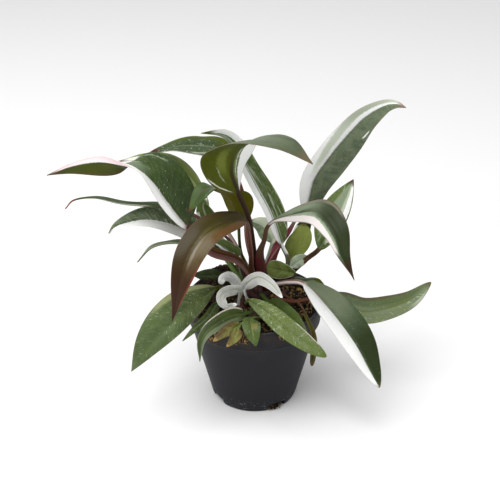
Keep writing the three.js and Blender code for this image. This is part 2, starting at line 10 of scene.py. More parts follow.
import bpy
import numpy as np
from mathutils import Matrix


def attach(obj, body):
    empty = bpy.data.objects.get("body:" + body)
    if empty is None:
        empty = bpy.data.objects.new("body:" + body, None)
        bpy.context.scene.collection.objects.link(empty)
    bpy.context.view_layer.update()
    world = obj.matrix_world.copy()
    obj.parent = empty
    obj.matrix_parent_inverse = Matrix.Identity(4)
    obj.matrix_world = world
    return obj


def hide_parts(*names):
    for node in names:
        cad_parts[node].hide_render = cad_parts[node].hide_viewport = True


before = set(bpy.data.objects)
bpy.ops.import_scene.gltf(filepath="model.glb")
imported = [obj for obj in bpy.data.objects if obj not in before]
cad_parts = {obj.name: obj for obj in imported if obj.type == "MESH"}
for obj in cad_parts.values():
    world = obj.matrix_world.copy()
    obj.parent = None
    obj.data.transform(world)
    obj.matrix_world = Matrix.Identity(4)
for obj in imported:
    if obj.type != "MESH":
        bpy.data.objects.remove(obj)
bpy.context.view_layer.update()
MM = 0.001

# %% [markdown]
# The camera comes first, because every later choice is judged through it. The pot's rim shows as
# an ellipse about half as tall as it is wide, so the camera looks down by some thirty degrees,
# and a long lens keeps the pot's sides nearly straight.

# %% Camera
CAMERA_PLACE = (-2.0, -361.9, 261.2)
CAMERA_PITCH = 27.65
CAMERA_LENS = 68.57

camera_data = bpy.data.cameras.new("camera")
camera_data.lens = CAMERA_LENS
camera_data.clip_start = 0.01
camera = bpy.data.objects.new("camera", camera_data)
camera.location = [v * MM for v in CAMERA_PLACE]
camera.rotation_euler = (math.radians(90 - CAMERA_PITCH), 0, 0)
bpy.context.scene.collection.objects.link(camera)
bpy.context.scene.camera = camera
print("camera is", round(np.linalg.norm(CAMERA_PLACE)), "mm from the pot's foot")

# %% [markdown]
# Every new piece is a grid of points bent into shape. It could be modelled by hand, but a grid
# worked out with numpy can be measured and changed by one number. These helpers close such a
# grid, turn its faces outwards, and store with the mesh the numbers that its finish will read.


# %% Close a grid
def closed_faces(rows, columns):
    """Four-cornered cells between neighbouring rows and columns, the last column joined to the
    first, and one cap over the first row and one over the last."""
    i, j = np.meshgrid(np.arange(rows - 1), np.arange(columns), indexing="ij")
    k = (j + 1) % columns
    cells = np.stack([i * columns + j, i * columns + k, (i + 1) * columns + k, (i + 1) * columns + j], -1)
    ring = np.arange(columns)
    return cells.reshape(-1, 4).tolist() + [ring[::-1].tolist(), (ring + (rows - 1) * columns).tolist()]


def enclosed_volume(points):
    """Sum of corner triple products over all cells and both caps. It is negative for a grid whose
    faces point inwards."""
    beside = np.roll(points, -1, axis=1)
    a, b, c, d = points[:-1], beside[:-1], beside[1:], points[1:]
    total = np.sum(a * np.cross(b, c)) + np.sum(a * np.cross(c, d))
    for ring, turn in ((points[0], -1), (points[-1], 1)):
        total += turn * np.sum(ring.mean(axis=0) * np.cross(ring, np.roll(ring, -1, axis=0)))
    return total


def outward_faces(points):
    """The faces of a closed grid, all pointing outwards."""
    faces = closed_faces(*points.shape[:2])
    return faces if enclosed_volume(points) >= 0 else [face[::-1] for face in faces]


def joined(grids):
    """Several closed grids as one list of points and one of faces."""
    points, faces, start = [], [], 0
    for grid in grids:
        faces += [[start + k for k in face] for face in outward_faces(grid)]
        points.append(grid.reshape(-1, 3))
        start += len(points[-1])
    return np.vstack(points), faces


print("a grid of 3 rows and 4 columns closes with", len(closed_faces(3, 4)), "faces")


# %% Make a piece
def add_piece(name, vertices, faces, fields, slot_name, node=None):
    """Makes a smooth mesh object from vertices in mm, with its fields of numbers, and ties it to
    the frame. `node` names the solid that it stands for."""
    mesh = bpy.data.meshes.new(name)
    mesh.from_pydata((np.asarray(vertices) * MM).tolist(), [], faces)
    for key, array in fields.items():
        kind, field = ("FLOAT_VECTOR", "vector") if array.ndim == 2 else ("FLOAT", "value")
        data = mesh.attributes.new(key, kind, "POINT").data
        data.foreach_set(field, array.astype(np.float32).ravel())
    mesh.polygons.foreach_set("use_smooth", np.ones(len(mesh.polygons), bool))
    mesh.update()
    piece = bpy.data.objects.new(name, mesh)
    bpy.context.scene.collection.objects.link(piece)
    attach(piece, "root")
    if node:
        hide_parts(node)
    return piece


def grid_piece(name, points, slot_name, node=None):
    """A closed piece over a grid of points of shape (rows, columns, 3), facing outwards."""
    return add_piece(name, points.reshape(-1, 3), outward_faces(points), {}, slot_name, node)


print("pieces hold their points in metres, so one mm is", MM)


# %% Smooth steps and smooth lists
LIST_STEPS = 16


def smooth(x):
    """Zero below 0, one above 1, and 3x^2 - 2x^3 between."""
    x = np.clip(x, 0, 1)
    return x * x * (3 - 2 * x)


def through(points, per_span):
    """Curve through the points with each tangent half the step between its neighbours."""
    p = np.asarray(points, float)
    p = np.vstack([2 * p[0] - p[1], p, 2 * p[-1] - p[-2]])
    t = np.linspace(0, 1, per_span, endpoint=False)[None, :, None]
    a, b, c, d = p[:-3, None], p[1:-2, None], p[2:-1, None], p[3:, None]
    bends = (2 * a - 5 * b + 4 * c - d) * t**2 + (3 * b - a - 3 * c + d) * t**3
    spans = 0.5 * (2 * b + (c - a) * t + bends)
    return np.vstack([spans.reshape(-1, p.shape[1]), p[-2]])


def along(values, t):
    """Value at share t of a smooth curve through evenly spaced values."""
    if len(values) == 1:
        return np.full_like(t, values[0])
    dense = through(np.array(values, float)[:, None], LIST_STEPS)[:, 0]
    return np.interp(t, np.linspace(0, 1, len(dense)), dense)


print("a smooth step is", smooth(0.25), "a quarter of the way")

# %% [markdown]
# ## The leaves
# A leaf could be sculpted, or cut from a flat sheet and bent with modifiers. Here each one is a
# cross-section carried along its midrib, because then a short list of points sets how it rises,
# arches, twists and hangs, and every spot of the blade knows how far it is from the rib, the
# margin and the tip. The veins and the white sectors need those distances.
#
# "path" runs from the root along the stalk and the midrib to the tip, in mm, and "neck" is the
# number of the point where the blade starts. "heading" is the way the leaf points, in degrees
# from +X, "width" the left and right half-widths, and "roll" turns the blade about its midrib
# from neck to tip. "shape" holds the outline's two exponents, "fold" and "curl" bend the halves
# up and back down, "lobe" drops the base corners, "stalk" lists the stalk's half-widths and
# "flat" squashes its upper and lower sides.
#
# One photo shows no depth. Most points are picks on the photo, each with a guessed depth, and a
# separate program turned them into mm, rounded to 0.5. It also worked out the roll of most
# blades from the way they face the viewer, rounded to 5 degrees. The rest was chosen one by one.

# %% Shape of a common leaf
SHAPE_DEFAULTS = {"shape": (0.55, 0.95), "fold": (20, 8), "curl": (-25, -15), "lobe": 0, "flat": 0.9}
print("a common leaf folds up by", SHAPE_DEFAULTS["fold"][0], "degrees at its neck")

# %% [markdown]
# Three grown leaves arch over the front: the crest at the top, a green one with a pinkish half
# to the right, and a bronze one to the left. Their tips hang, so their paths end downwards.

# %% Shapes of the arching leaves
ARCHING_SHAPES = {
    "crest": {
        "heading": -45, "neck": 3, "width": (11, 12.5), "stalk": (1.4, 1.1),
        "roll": (0, -15, -5, -5, -5), "shape": (0.8, 1.1), "fold": (28, 22, 10, 5), "curl": (-20, -15),
        "path": [(2.5, 10, 51), (0, 8, 64.5), (-2.5, 2, 85.5), (-7, -6, 101.5), (-9.5, -12, 113.5),
            (-7.5, -19, 124), (0, -28, 132.5), (11.5, -34, 133.5), (21, -39, 127.5)],
    },
    "right_arch": {
        "heading": -40, "neck": 3, "width": (5.4, 6.6), "stalk": (2, 2.6, 1.4, 1.1),
        "roll": (15, 20, 30, 45, 50), "shape": (1.25, 1.55), "lobe": 1,
        "path": [(5, 4.5, 50), (2, 4, 66), (4, 1, 76), (6.5, -3, 86), (18.5, -11, 94.5),
            (26.5, -20, 99), (32, -28, 95), (35, -33, 86.5), (39, -36, 77)],
    },
    "bronze": {
        "heading": -130, "neck": 2, "width": (5.6, 6.2), "stalk": (1.5, 1.1),
        "roll": (-50, -20, -30, -40), "shape": (0.95, 1.35),
        "path": [(-1.5, 6.5, 50), (-1.5, 2, 71.5), (-3.5, -4, 87), (-10, -12, 91), (-18.5, -20, 90.5),
            (-25, -27, 85), (-29, -32, 75.5), (-33.5, -35, 57)],
    },
}
print("shapes:", *ARCHING_SHAPES)

# %% [markdown]
# Five leaves reach to the left. The banner is the widest of them, and it twists so far that its
# lower face shows towards the tip. Its roll therefore runs through more than a right angle.

# %% Shapes of the left leaves
LEFT_SHAPES = {
    "left_banner": {
        "heading": -175, "neck": 3, "width": (2.3, 12.6), "stalk": (1.8, 2.6, 1.5),
        "roll": (-50, -55, -45, 15, 75, 90, 95), "shape": (0.5, 1.2), "fold": (20, 15, 10),
        "curl": (-10, -15), "flat": 0.5,
        "path": [(1, 1.5, 51), (-6.5, -1, 66.5), (-19, -4, 73.5), (-28.5, -7, 86.5), (-35, -9, 97),
            (-41.5, -11, 108.5), (-47.5, -11.5, 114.5), (-55, -10, 116), (-63.5, -7, 115.5),
            (-74, -6, 113), (-84.5, -5, 108.5)],
    },
    "left_shade": {
        "heading": 175, "neck": 3, "width": (7, 5.5), "stalk": (1.2, 1), "roll": (-5, 0, 0),
        "fold": (20, 10),
        "path": [(-0.5, 14.5, 50), (-6, 17, 60.5), (-11.5, 20, 69.5), (-20.5, 23, 80.5),
            (-27, 22, 94.5), (-36.5, 19, 105), (-47.5, 15, 108), (-58, 12, 107.5)],
    },
    "left_ribbon": {
        "heading": -175, "neck": 3, "width": (3.5, 3.5), "stalk": (1, 0.8), "roll": (10, 20, 5),
        "shape": (0.5, 1.5), "fold": (30, 30),
        "path": [(-3.5, 10, 50), (-8, 10, 65.5), (-12.5, 10, 73), (-27, 7, 85.5), (-40, 2, 91),
            (-55.5, -1, 94), (-66, -3, 97.5), (-74.5, -4, 97), (-78.5, -5, 93.5)],
    },
    "left_pale_edge": {
        "heading": -165, "neck": 2, "width": (3.7, 7.8), "stalk": (1.2, 0.9), "roll": (-65, -50, -45),
        "fold": (25, 20),
        "path": [(-5.5, 6, 50), (-8, 7, 62), (-15, 9, 66.5), (-24, 9, 73), (-32.5, 7.5, 78.5),
            (-40.5, 4, 83), (-48.5, 1, 85), (-57.5, -2, 84), (-61.5, -4, 81.5)],
    },
    "left_narrow": {
        "heading": -165, "neck": 4, "width": (2.6, 0.9), "stalk": (0.9, 1.7, 1.6, 1.2),
        "roll": (-20, 0, 5), "shape": (0.5, 0.8), "fold": (40, 40),
        "path": [(-6.5, -3, 48.5), (-6, 0, 55.5), (-8, 1.5, 60), (-13.5, 3, 67.5), (-21, 4, 70.5),
            (-33.5, -1, 75.5), (-43, -6, 76), (-49.5, -9, 70.5)],
    },
}
print("shapes:", *LEFT_SHAPES)

# %% [markdown]
# Behind these stand the long upper leaves, with their faces turned to the front. The two halves
# of a blade aren't equally wide here, which "width" allows for.

# %% Shapes of the upper leaves
UPPER_SHAPES = {
    "back_left": {
        "heading": 160, "neck": 3, "width": (7, 5.5), "stalk": (1.6, 1), "roll": (-10,),
        "shape": (0.5, 0.8), "fold": (15, 15),
        "path": [(2, 14, 49), (-3, 20, 66), (-4, 28, 80), (-9, 31, 95.5), (-14.5, 29, 106),
            (-23.5, 25, 109.5), (-34.5, 20, 111), (-45, 15, 110)],
    },
    "olive_arch": {
        "heading": -135, "neck": 2, "width": (8, 5.5), "stalk": (0.7, 0.7), "roll": (35, 20, 0, 0),
        "shape": (0.5, 0.8), "fold": (20, 15, 15), "curl": (10, 0), "lobe": 1,
        "path": [(-1, 11.5, 51), (-6, 12, 64.5), (-7, 10, 79.5), (-8, 7, 87.5), (-10, 4, 94),
            (-15, -1, 99.5), (-20.5, -7, 103), (-27, -12, 95)],
    },
    "striped": {
        "heading": 110, "neck": 2, "width": (2.4, 7.8), "stalk": (1.2, 0.9),
        "roll": (-40, -40, -30, 60), "shape": (0.65, 1.1), "fold": (25, 25),
        "path": [(15, 17.5, 50), (15, 18, 58), (12, 19, 65), (7.5, 20, 79.5), (1.5, 20, 92),
            (-3.5, 18, 103), (-8, 15, 113), (-13.5, 11, 120), (-22, 6, 122.5)],
    },
    "tall_right": {
        "heading": -30, "neck": 4, "width": (5.8, 8.5), "stalk": (2, 2.7, 1.8, 0.8, 0.9),
        "roll": (125, 115, 105, 65), "shape": (0.5, 0.9), "fold": (25, 25, 15), "lobe": 2,
        "path": [(4.5, 13, 50), (9.5, 20, 62), (15.5, 24, 68.5), (19, 27, 73.5), (23.5, 28, 79.5),
            (26, 24, 94), (31.5, 18, 107), (37.5, 10, 119.5), (43.5, 1, 131), (50, -8, 139),
            (54, -13, 141.5), (57, -17, 141.5)],
    },
    "right_upright": {
        "heading": 40, "neck": 2, "width": (7.5, 4), "stalk": (1.3, 1.1), "roll": (35, 35, 40),
        "shape": (0.85, 1),
        "path": [(16.5, 18.5, 50), (23.5, 18, 57.5), (29, 15, 64.5), (34, 15, 75), (39, 15, 87.5),
            (42.5, 15, 98)],
    },
}
print("shapes:", *UPPER_SHAPES)

# %% [markdown]
# Small leaves fill the middle of the clump. Little of each shows between the stalks, so their
# paths are short.

# %% Shapes of the inner leaves
INNER_SHAPES = {
    "back_right": {
        "heading": 50, "neck": 1, "width": (4.6, 4.6), "stalk": (1, 0.9), "roll": (30, 30, 35),
        "shape": (0.6, 0.6),
        "path": [(14, 20, 50), (16, 23, 55), (18.5, 24, 60), (21.5, 25, 65), (22.5, 27, 71)],
    },
    "back_flecked": {
        "heading": 20, "neck": 1, "width": (3.5, 3.5), "stalk": (0.9, 0.7), "roll": (50, 60, 55),
        "shape": (0.5, 0.8),
        "path": [(18.5, 20.5, 50), (22, 33, 54.5), (21.5, 36, 59), (23, 37, 64), (26.5, 36, 70)],
    },
    "small_green": {
        "heading": 170, "neck": 1, "width": (3.6, 3.8), "stalk": (0.7, 0.6), "roll": (-50, -60, -60),
        "shape": (0.9, 0.4),
        "path": [(14, 15, 50), (18, 12, 53.5), (11.5, 10, 56), (5.5, 9, 58.5)],
    },
    "back_sage": {
        "heading": 170, "neck": 1, "width": (4, 4.5), "stalk": (1, 0.8), "roll": (-85, -65, -60),
        "path": [(4, 18, 51), (8, 26, 61.5), (7, 28, 65), (3.5, 30, 68.5), (-2.5, 30, 71)],
    },
    "back_cream": {
        "heading": 30, "neck": 1, "width": (2.4, 2.4), "stalk": (0.8, 0.7), "roll": (50, 50, 55),
        "shape": (0.6, 0.6),
        "path": [(14, 14.5, 50), (17, 17, 54), (20, 18, 56.5), (24.5, 19, 58)],
    },
    "inner_striped": {
        "heading": -160, "neck": 1, "width": (3, 3), "stalk": (0.9, 0.7), "roll": (-95, -80, -75),
        "path": [(-4.5, 4.5, 50), (-7.5, 4.5, 66), (-11, 3.5, 69.5), (-15, 1.5, 73.5),
            (-19.5, -0.5, 77)],
    },
    "inner_left": {
        "heading": 175, "neck": 2, "width": (3.6, 3.6), "stalk": (0.9, 0.7), "roll": (-70, -75, -100),
        "path": [(-4, 12.5, 50), (-9.5, 14, 64), (-18, 16, 73), (-21.5, 16, 80.5), (-22.5, 15, 86),
            (-20.5, 14, 89.5)],
    },
}
print("shapes:", *INNER_SHAPES)

# %% [markdown]
# Most of these leaves fall over the pot's rim: the path rises from the soil, clears the lip and
# then sinks. The wing turns up again towards its tip.

# %% Shapes of the leaves over the right rim
RIGHT_RIM_SHAPES = {
    "low_right": {
        "heading": -35, "neck": 2, "width": (9, 5.5), "stalk": (1.3, 1.1), "roll": (20, 25, 30),
        "shape": (0.7, 0.8), "fold": (28, 25),
        "path": [(8, 8, 50), (15.5, -1, 56.5), (21.5, -5, 57.5), (29, -12, 52.5), (36, -19, 46.5),
            (42.5, -25, 39), (48, -30, 30.5), (52.5, -34, 24)],
    },
    "right_wing": {
        "heading": 5, "neck": 3, "width": (5.5, 5), "stalk": (0.9, 0.9), "roll": (60, 55, 60),
        "shape": (0.6, 0.7),
        "path": [(8.5, -1, 49), (16, -6, 49.5), (23, -9, 52.5), (29.5, -8, 52.5), (38.5, -1, 45.5),
            (48.5, 4, 38.5), (59, 7, 38), (70.5, 9, 41.5), (79.5, 11, 49.5)],
    },
    "rim_curl": {
        "heading": 0, "neck": 1, "width": (0.9, 1.1), "stalk": (0.7, 0.7), "roll": (60, 60, 70),
        "shape": (0.5, 0.4),
        "path": [(13, 11, 48.5), (18.5, 12, 50.5), (22.5, 11, 50), (26, 10, 51), (28.5, 9, 51),
            (31.5, 8, 48.5)],
    },
    "front_right": {
        "heading": -45, "neck": 1, "width": (3.6, 3.8), "stalk": (1.2, 0.9), "roll": (50, 40, 45),
        "shape": (0.8, 0.65),
        "path": [(-3.5, -6, 49), (-2, -13, 54), (5.5, -23, 54.5), (13, -33, 53), (20.5, -40, 50.5),
            (28.5, -45, 47)],
    },
    "front_under": {
        "heading": -40, "neck": 1, "width": (3.6, 3.2), "stalk": (1, 0.8), "roll": (40, 45, 45),
        "path": [(3, 1, 49), (6, -7, 50), (11.5, -16, 50.5), (17, -24, 50.5), (22, -30, 47.5)],
    },
}
print("shapes:", *RIGHT_RIM_SHAPES)

# %% [markdown]
# The same at the front and on the left. The withered leaf is split in two, so its second lobe
# has a path of its own, and the leaf on the soil hardly rises at all.

# %% Shapes of the leaves over the front and left rim
FRONT_RIM_SHAPES = {
    "front_left": {
        "heading": -160, "neck": 1, "width": (2.8, 2.8), "stalk": (1, 0.8), "roll": (-45, -40, -60),
        "shape": (0.5, 1.2),
        "path": [(0, -11.5, 48), (-4.5, -21, 52.5), (-9.5, -25, 54), (-14.5, -30, 54), (-19.5, -34, 52),
            (-22, -36.5, 48), (-22.5, -38, 40)],
    },
    "withered": {
        "heading": -120, "neck": 1, "width": (2, 2.2), "stalk": (0.8, 0.6), "roll": (-50, -50, -35),
        "shape": (0.5, 0.8),
        "path": [(-2, -16.5, 48), (-6, -26.5, 50.5), (-11.5, -33, 51.5), (-17, -36, 48.5)],
    },
    "withered_lobe": {
        "heading": -100, "neck": 1, "width": (2, 1.6), "stalk": (0.6, 0.6), "roll": (-20, -15, -10),
        "shape": (0.5, 0.9),
        "path": [(-5.5, -25, 50.5), (-7, -30.5, 51), (-8, -34.5, 50), (-11.5, -37, 46.5)],
    },
    "front_small": {
        "heading": -85, "neck": 1, "width": (3.3, 3.3), "stalk": (0.8, 0.6), "roll": (-20, 10, 5),
        "path": [(2.5, -16.5, 48), (-1.5, -25, 52.5), (-1, -32, 51), (0.5, -35, 45.5)],
    },
    "low_left": {
        "heading": -140, "neck": 1, "width": (5, 9.5), "stalk": (1, 0.9), "roll": (-50, -45, -45),
        "shape": (1.1, 1.1),
        "path": [(-12, 6, 49), (-17, -6, 56), (-24.5, -17, 56), (-32.5, -27, 53.5), (-42, -34, 46),
            (-50.5, -40, 36.5)],
    },
    "low_left_under": {
        "heading": -135, "neck": 1, "width": (1.9, 1.5), "stalk": (0.8, 0.6), "roll": (-30, -40, -40),
        "path": [(-12, 2, 48), (-16, -9, 50.5), (-19.5, -20, 50.5), (-24.5, -29, 50.5),
            (-29.5, -35, 48)],
    },
    "on_soil": {
        "heading": 170, "neck": 1, "width": (2.5, 2.5), "stalk": (0.6, 0.5), "roll": (-70, -70, -70),
        "path": [(-13.5, 12, 49), (-15, 12, 52.5), (-21, 13, 52), (-28, 14, 51.5)],
    },
}
print("shapes:", *FRONT_RIM_SHAPES)

# %% [markdown]
# Three pale blades curl in the centre, and a dry strip hangs over the right rim. Small outline
# exponents keep a blade wide up to its tip, as these pale ones are.

# %% Shapes of the pale and dry leaves
PALE_SHAPES = {
    "white_hook": {
        "heading": -150, "neck": 1, "width": (1.7, 1.7), "stalk": (0.8, 0.7), "roll": (-110, -90, -50),
        "shape": (0.4, 0.3),
        "path": [(-7, -5, 48.5), (-6, -3.5, 52.5), (-8.5, -4, 58.5), (-11, -6, 62), (-13.5, -9, 63),
            (-14.5, -11, 61)],
    },
    "white_curl": {
        "heading": -150, "neck": 1, "width": (1.7, 1.7), "stalk": (0.8, 0.7), "roll": (-90, -45, -135),
        "shape": (0.3, 0.5),
        "path": [(-7, -6.5, 48), (-6.5, -9, 56.5), (-10, -12, 58.5), (-13.5, -15, 58.5),
            (-14, -17, 56.5), (-11.5, -19, 55), (-7.5, -20, 56.5)],
    },
    "white_arch": {
        "heading": -45, "neck": 1, "width": (2.2, 2.4), "stalk": (0.8, 0.7), "roll": (130, 65, 40),
        "shape": (0.5, 0.7),
        "path": [(-3, -4, 48), (-4.5, -6, 55.5), (-2.5, -8, 60), (2, -12, 64.5), (7, -16, 63.5),
            (11.5, -19, 59)],
    },
    "dry_strip": {
        "heading": -35, "neck": 1, "width": (1.2, 1.2), "stalk": (0.6, 0.5), "roll": (80, 55, 65),
        "shape": (2.2, 0.5), "fold": (40, 40),
        "path": [(10, 3.5, 49.5), (18.5, -8, 50), (20.5, -15, 51), (22.5, -25, 51), (24.5, -28.5, 46),
            (24.5, -29.5, 39), (24, -29.5, 32)],
    },
}
print("shapes:", *PALE_SHAPES)

# %% All shapes
SHAPES = {
    **ARCHING_SHAPES, **LEFT_SHAPES, **UPPER_SHAPES, **INNER_SHAPES,
    **RIGHT_RIM_SHAPES, **FRONT_RIM_SHAPES, **PALE_SHAPES,
}
print(len(SHAPES), "leaves and lobes")

# %% [markdown]
# The fine leaf keeps the solid's form and thins it towards the margin. It adds what a blade has
# on top of that form: a shallow channel over the midrib, a keel under it, and soft waves that
# grow towards the margin.

# %% Sizes of the leaf grid
HALF_POINTS = 9
STALK_ROWS = 22
BLADE_ROWS = 64
PATH_STEPS = 24
# rows crowd towards the tip by this exponent, where the outline changes fastest
TIP_CROWDING = 1.25
# share of the whole length over which the forward direction is read
LOOK_AHEAD = 0.012
# half thicknesses in mm
RIB_HALF = 0.26
MARGIN_HALF = 0.1
TIP_RADIUS = 0.14
# the rib's radius at the neck as a share of the stalk's, and the exponent by which it thins
RIB_START, RIB_TAPER = 0.9, 0.8
# depth in shares of the rib's radius, then width as a share of it and in mm
CHANNEL = (0.5, 0.55, 0.1)
KEEL = (0.6, 0.8, 0.15)
WAVE_HEIGHT = 0.22
WAVE_COUNT = 2.6
# share of the blade over which its waves rise at one end and die out at the other
WAVE_END = 0.2
# the stalk's upper side is lower than its round, with a groove of this depth and width in shares
STALK_TOP = 0.8
GROOVE_DEPTH, GROOVE_WIDTH = 0.45, 0.35
# share of the blade over which the stalk becomes a blade, and over which the base corners drop
NECK_SHARE = 0.06
LOBE_SHARE = 0.35
LOBE_BEND = 1.3
# a bend below this counts as this, so that nothing is divided by zero
LEAST_BEND = 0.001
print("a leaf has", (STALK_ROWS + BLADE_ROWS) * (4 * HALF_POINTS + 2), "points")


# %% Midrib
def midrib(leaf, rows):
    """Places, forward, left and face directions of the midrib, one for each row. With them come
    the share along the blade, the mm past the neck and the share along the stalk."""
    dense = through(leaf["path"], PATH_STEPS)
    arc = np.concatenate([[0], np.cumsum(np.linalg.norm(np.diff(dense, axis=0), axis=1))])
    neck, total = arc[leaf["neck"] * PATH_STEPS], arc[-1]
    stalk = np.linspace(0, neck, STALK_ROWS, endpoint=False)
    length = np.concatenate([stalk, neck + rows * (total - neck)])

    def at(s):
        return np.stack([np.interp(s, arc, dense[:, k]) for k in range(3)], 1)

    reach = total * LOOK_AHEAD
    forward = at(length + reach) - at(length - reach)
    forward /= np.linalg.norm(forward, axis=1)[:, None]
    heading = math.radians(leaf["heading"])
    level = np.array([-math.sin(heading), math.cos(heading), 0.0])
    side = level - (forward @ level)[:, None] * forward
    side /= np.linalg.norm(side, axis=1)[:, None]
    up = np.cross(forward, side)
    t = (length - neck) / (total - neck)
    ease = np.where(t < 0, smooth(length / neck), 1.0)
    roll = np.radians(along(leaf["roll"], np.clip(t, 0, 1)) * ease)[:, None]
    left = side * np.cos(roll) + up * np.sin(roll)
    face = up * np.cos(roll) - side * np.sin(roll)
    return at(length), forward, left, face, t, length - neck, length / neck


print("the longest path has", max(len(shape["path"]) for shape in SHAPES.values()), "points")


# %% Cross-section of a blade
def arc_across(leaf, ahead, q, half_width):
    """Slope, sideways and upward place of the blade's middle layer. The slope from the rib
    outwards is fold + curl * share, so each half is an arc."""
    hand, reach = np.sign(q), np.abs(q) * half_width
    fold = np.radians(along(leaf["fold"], ahead))
    bend = np.radians(along(leaf["curl"], ahead)) / half_width
    bend = np.where(np.abs(bend) < LEAST_BEND, LEAST_BEND, bend)
    slope = fold + bend * reach
    return slope, hand * (np.sin(slope) - np.sin(fold)) / bend, (np.cos(fold) - np.cos(slope)) / bend


def bell(ridge, reach, radius):
    """Height of a ridge over the rib, a bell curve across it."""
    depth, share, least = ridge
    return depth * radius * np.exp(-((reach / (share * radius + least)) ** 2))


def leaf_surface(leaf, seed):
    """Cross-section carried along the midrib. Its half-width is t^a (1 - t)^b, scaled to peak at
    the leaf's own width, plus the rib's radius. Each point moves off the arc along its normal by
    half the thickness."""
    rows = 1 - (1 - np.linspace(0, 1, BLADE_ROWS)) ** TIP_CROWDING
    place, forward, left, face, t, past_neck, up_stalk = midrib(leaf, rows)
    ahead, up_stalk = np.clip(t, 0, 1)[:, None], up_stalk[:, None]
    q = np.sin(np.linspace(-1, 1, 2 * HALF_POINTS + 1) * math.pi / 2)[None, :]
    a, b = leaf["shape"]
    widest = a / (a + b)
    outline = (ahead / widest) ** a * ((1 - ahead) / (1 - widest)) ** b
    rib = leaf["stalk"][-1] * RIB_START * (1 - ahead) ** RIB_TAPER + TIP_RADIUS
    radius = np.where(t[:, None] < 0, along(leaf["stalk"], np.clip(up_stalk, 0, 1)), rib)
    blade = smooth(t / NECK_SHARE + 0.5)[:, None]
    half_width = np.where(q > 0, leaf["width"][0], leaf["width"][1]) * outline + radius
    reach = np.abs(q) * half_width
    slope, x, z = arc_across(leaf, ahead, q, half_width)
    phase = 2 * math.pi * (WAVE_COUNT * ahead + 0.37 * seed + 0.25 * np.sign(q))
    swell = smooth(ahead / WAVE_END) * smooth((1 - ahead) / WAVE_END)
    z = z + WAVE_HEIGHT * q**2 * np.sin(phase) * swell
    half = MARGIN_HALF + (RIB_HALF - MARGIN_HALF) * (1 - q**2)
    groove = 1 - GROOVE_DEPTH * np.exp(-((q / GROOVE_WIDTH) ** 2))
    stalk_x = radius * np.sin(q * math.pi / 2)
    stalk_z = radius * np.cos(q * math.pi / 2) * leaf["flat"]
    drop = leaf["lobe"] * np.abs(q) ** LOBE_BEND * np.clip(1 - ahead / LOBE_SHARE, 0, 1) ** 2 * blade

    def put(stalk_rise, blade_x, blade_z):
        """Points in the room, gone over from the stalk's round to the blade's arc at the neck."""
        across = stalk_x * (1 - blade) + blade_x * blade
        rise = stalk_rise * (1 - blade) + blade_z * blade
        middle = place[:, None] - forward[:, None] * drop[..., None]
        return middle + left[:, None] * across[..., None] + face[:, None] * rise[..., None]

    def around(top, bottom):
        return np.concatenate([top, bottom[:, ::-1]], axis=1)

    lean_x, lean_z = -np.sign(q) * np.sin(slope), np.cos(slope)
    sunk = half + bell(KEEL, reach, radius)
    raised = z + lean_z * half - bell(CHANNEL, reach, radius) * blade
    above = put(stalk_z * STALK_TOP * groove, x + lean_x * half, raised)
    points = around(above, put(-stalk_z, x - lean_x * sunk, z - lean_z * sunk))
    full = np.ones_like(half_width)
    share = np.where(t[:, None] < 0, up_stalk - 1, t[:, None]) * full
    where = np.stack([around(q * full, q * full), around(share, share), around(0 * full, full)], -1)
    span = np.stack([q * half_width, past_neck[:, None] * full, half_width], -1)
    return points, {"where": where.reshape(-1, 3), "span": around(span, span).reshape(-1, 3)}


sample = leaf_surface({**SHAPE_DEFAULTS, **SHAPES["crest"]}, 0)[0]
print("the crest leaf rises to", round(sample[..., 2].max(), 1), "mm")

# %% [markdown]
# ## How the finishes are written
# A finish is a sum on distances and noises. Wiring such a sum by hand takes many Math nodes, so
# one small class wraps a socket, and ordinary Python arithmetic on it adds the nodes.


# %% Shader arithmetic
class Signal:
    """One number or colour that varies over a surface."""

    def __init__(self, sheet, socket):
        self.sheet, self.socket = sheet, socket

    def math(self, operation, *values):
        return self.sheet.node("Math", {"operation": operation}, dict(enumerate(values)))

    def __add__(self, other):
        return self.math("ADD", self, other)

    def __sub__(self, other):
        return self.math("SUBTRACT", self, other)

    def __rsub__(self, other):
        return self.math("SUBTRACT", other, self)

    def __mul__(self, other):
        return self.math("MULTIPLY", self, other)

    def __truediv__(self, other):
        return self.math("DIVIDE", self, other)

    def __abs__(self):
        return self.math("ABSOLUTE", self)

    __radd__, __rmul__ = __add__, __mul__

    def sine(self):
        return self.math("SINE", self)

    def clipped(self):
        return self.sheet.node("Clamp", {}, {0: self})

    def rise(self, low, high):
        """Smooth step from zero at low to one at high."""
        return self.sheet.node("MapRange", {"interpolation_type": "SMOOTHSTEP"}, {0: self, 1: low, 2: high})

    def parts(self):
        """The three numbers of a vector."""
        return [self.sheet.node("SeparateXYZ", {}, {0: self}, k) for k in range(3)]


print("a signal can give", [name for name in vars(Signal) if not name.startswith("_")])


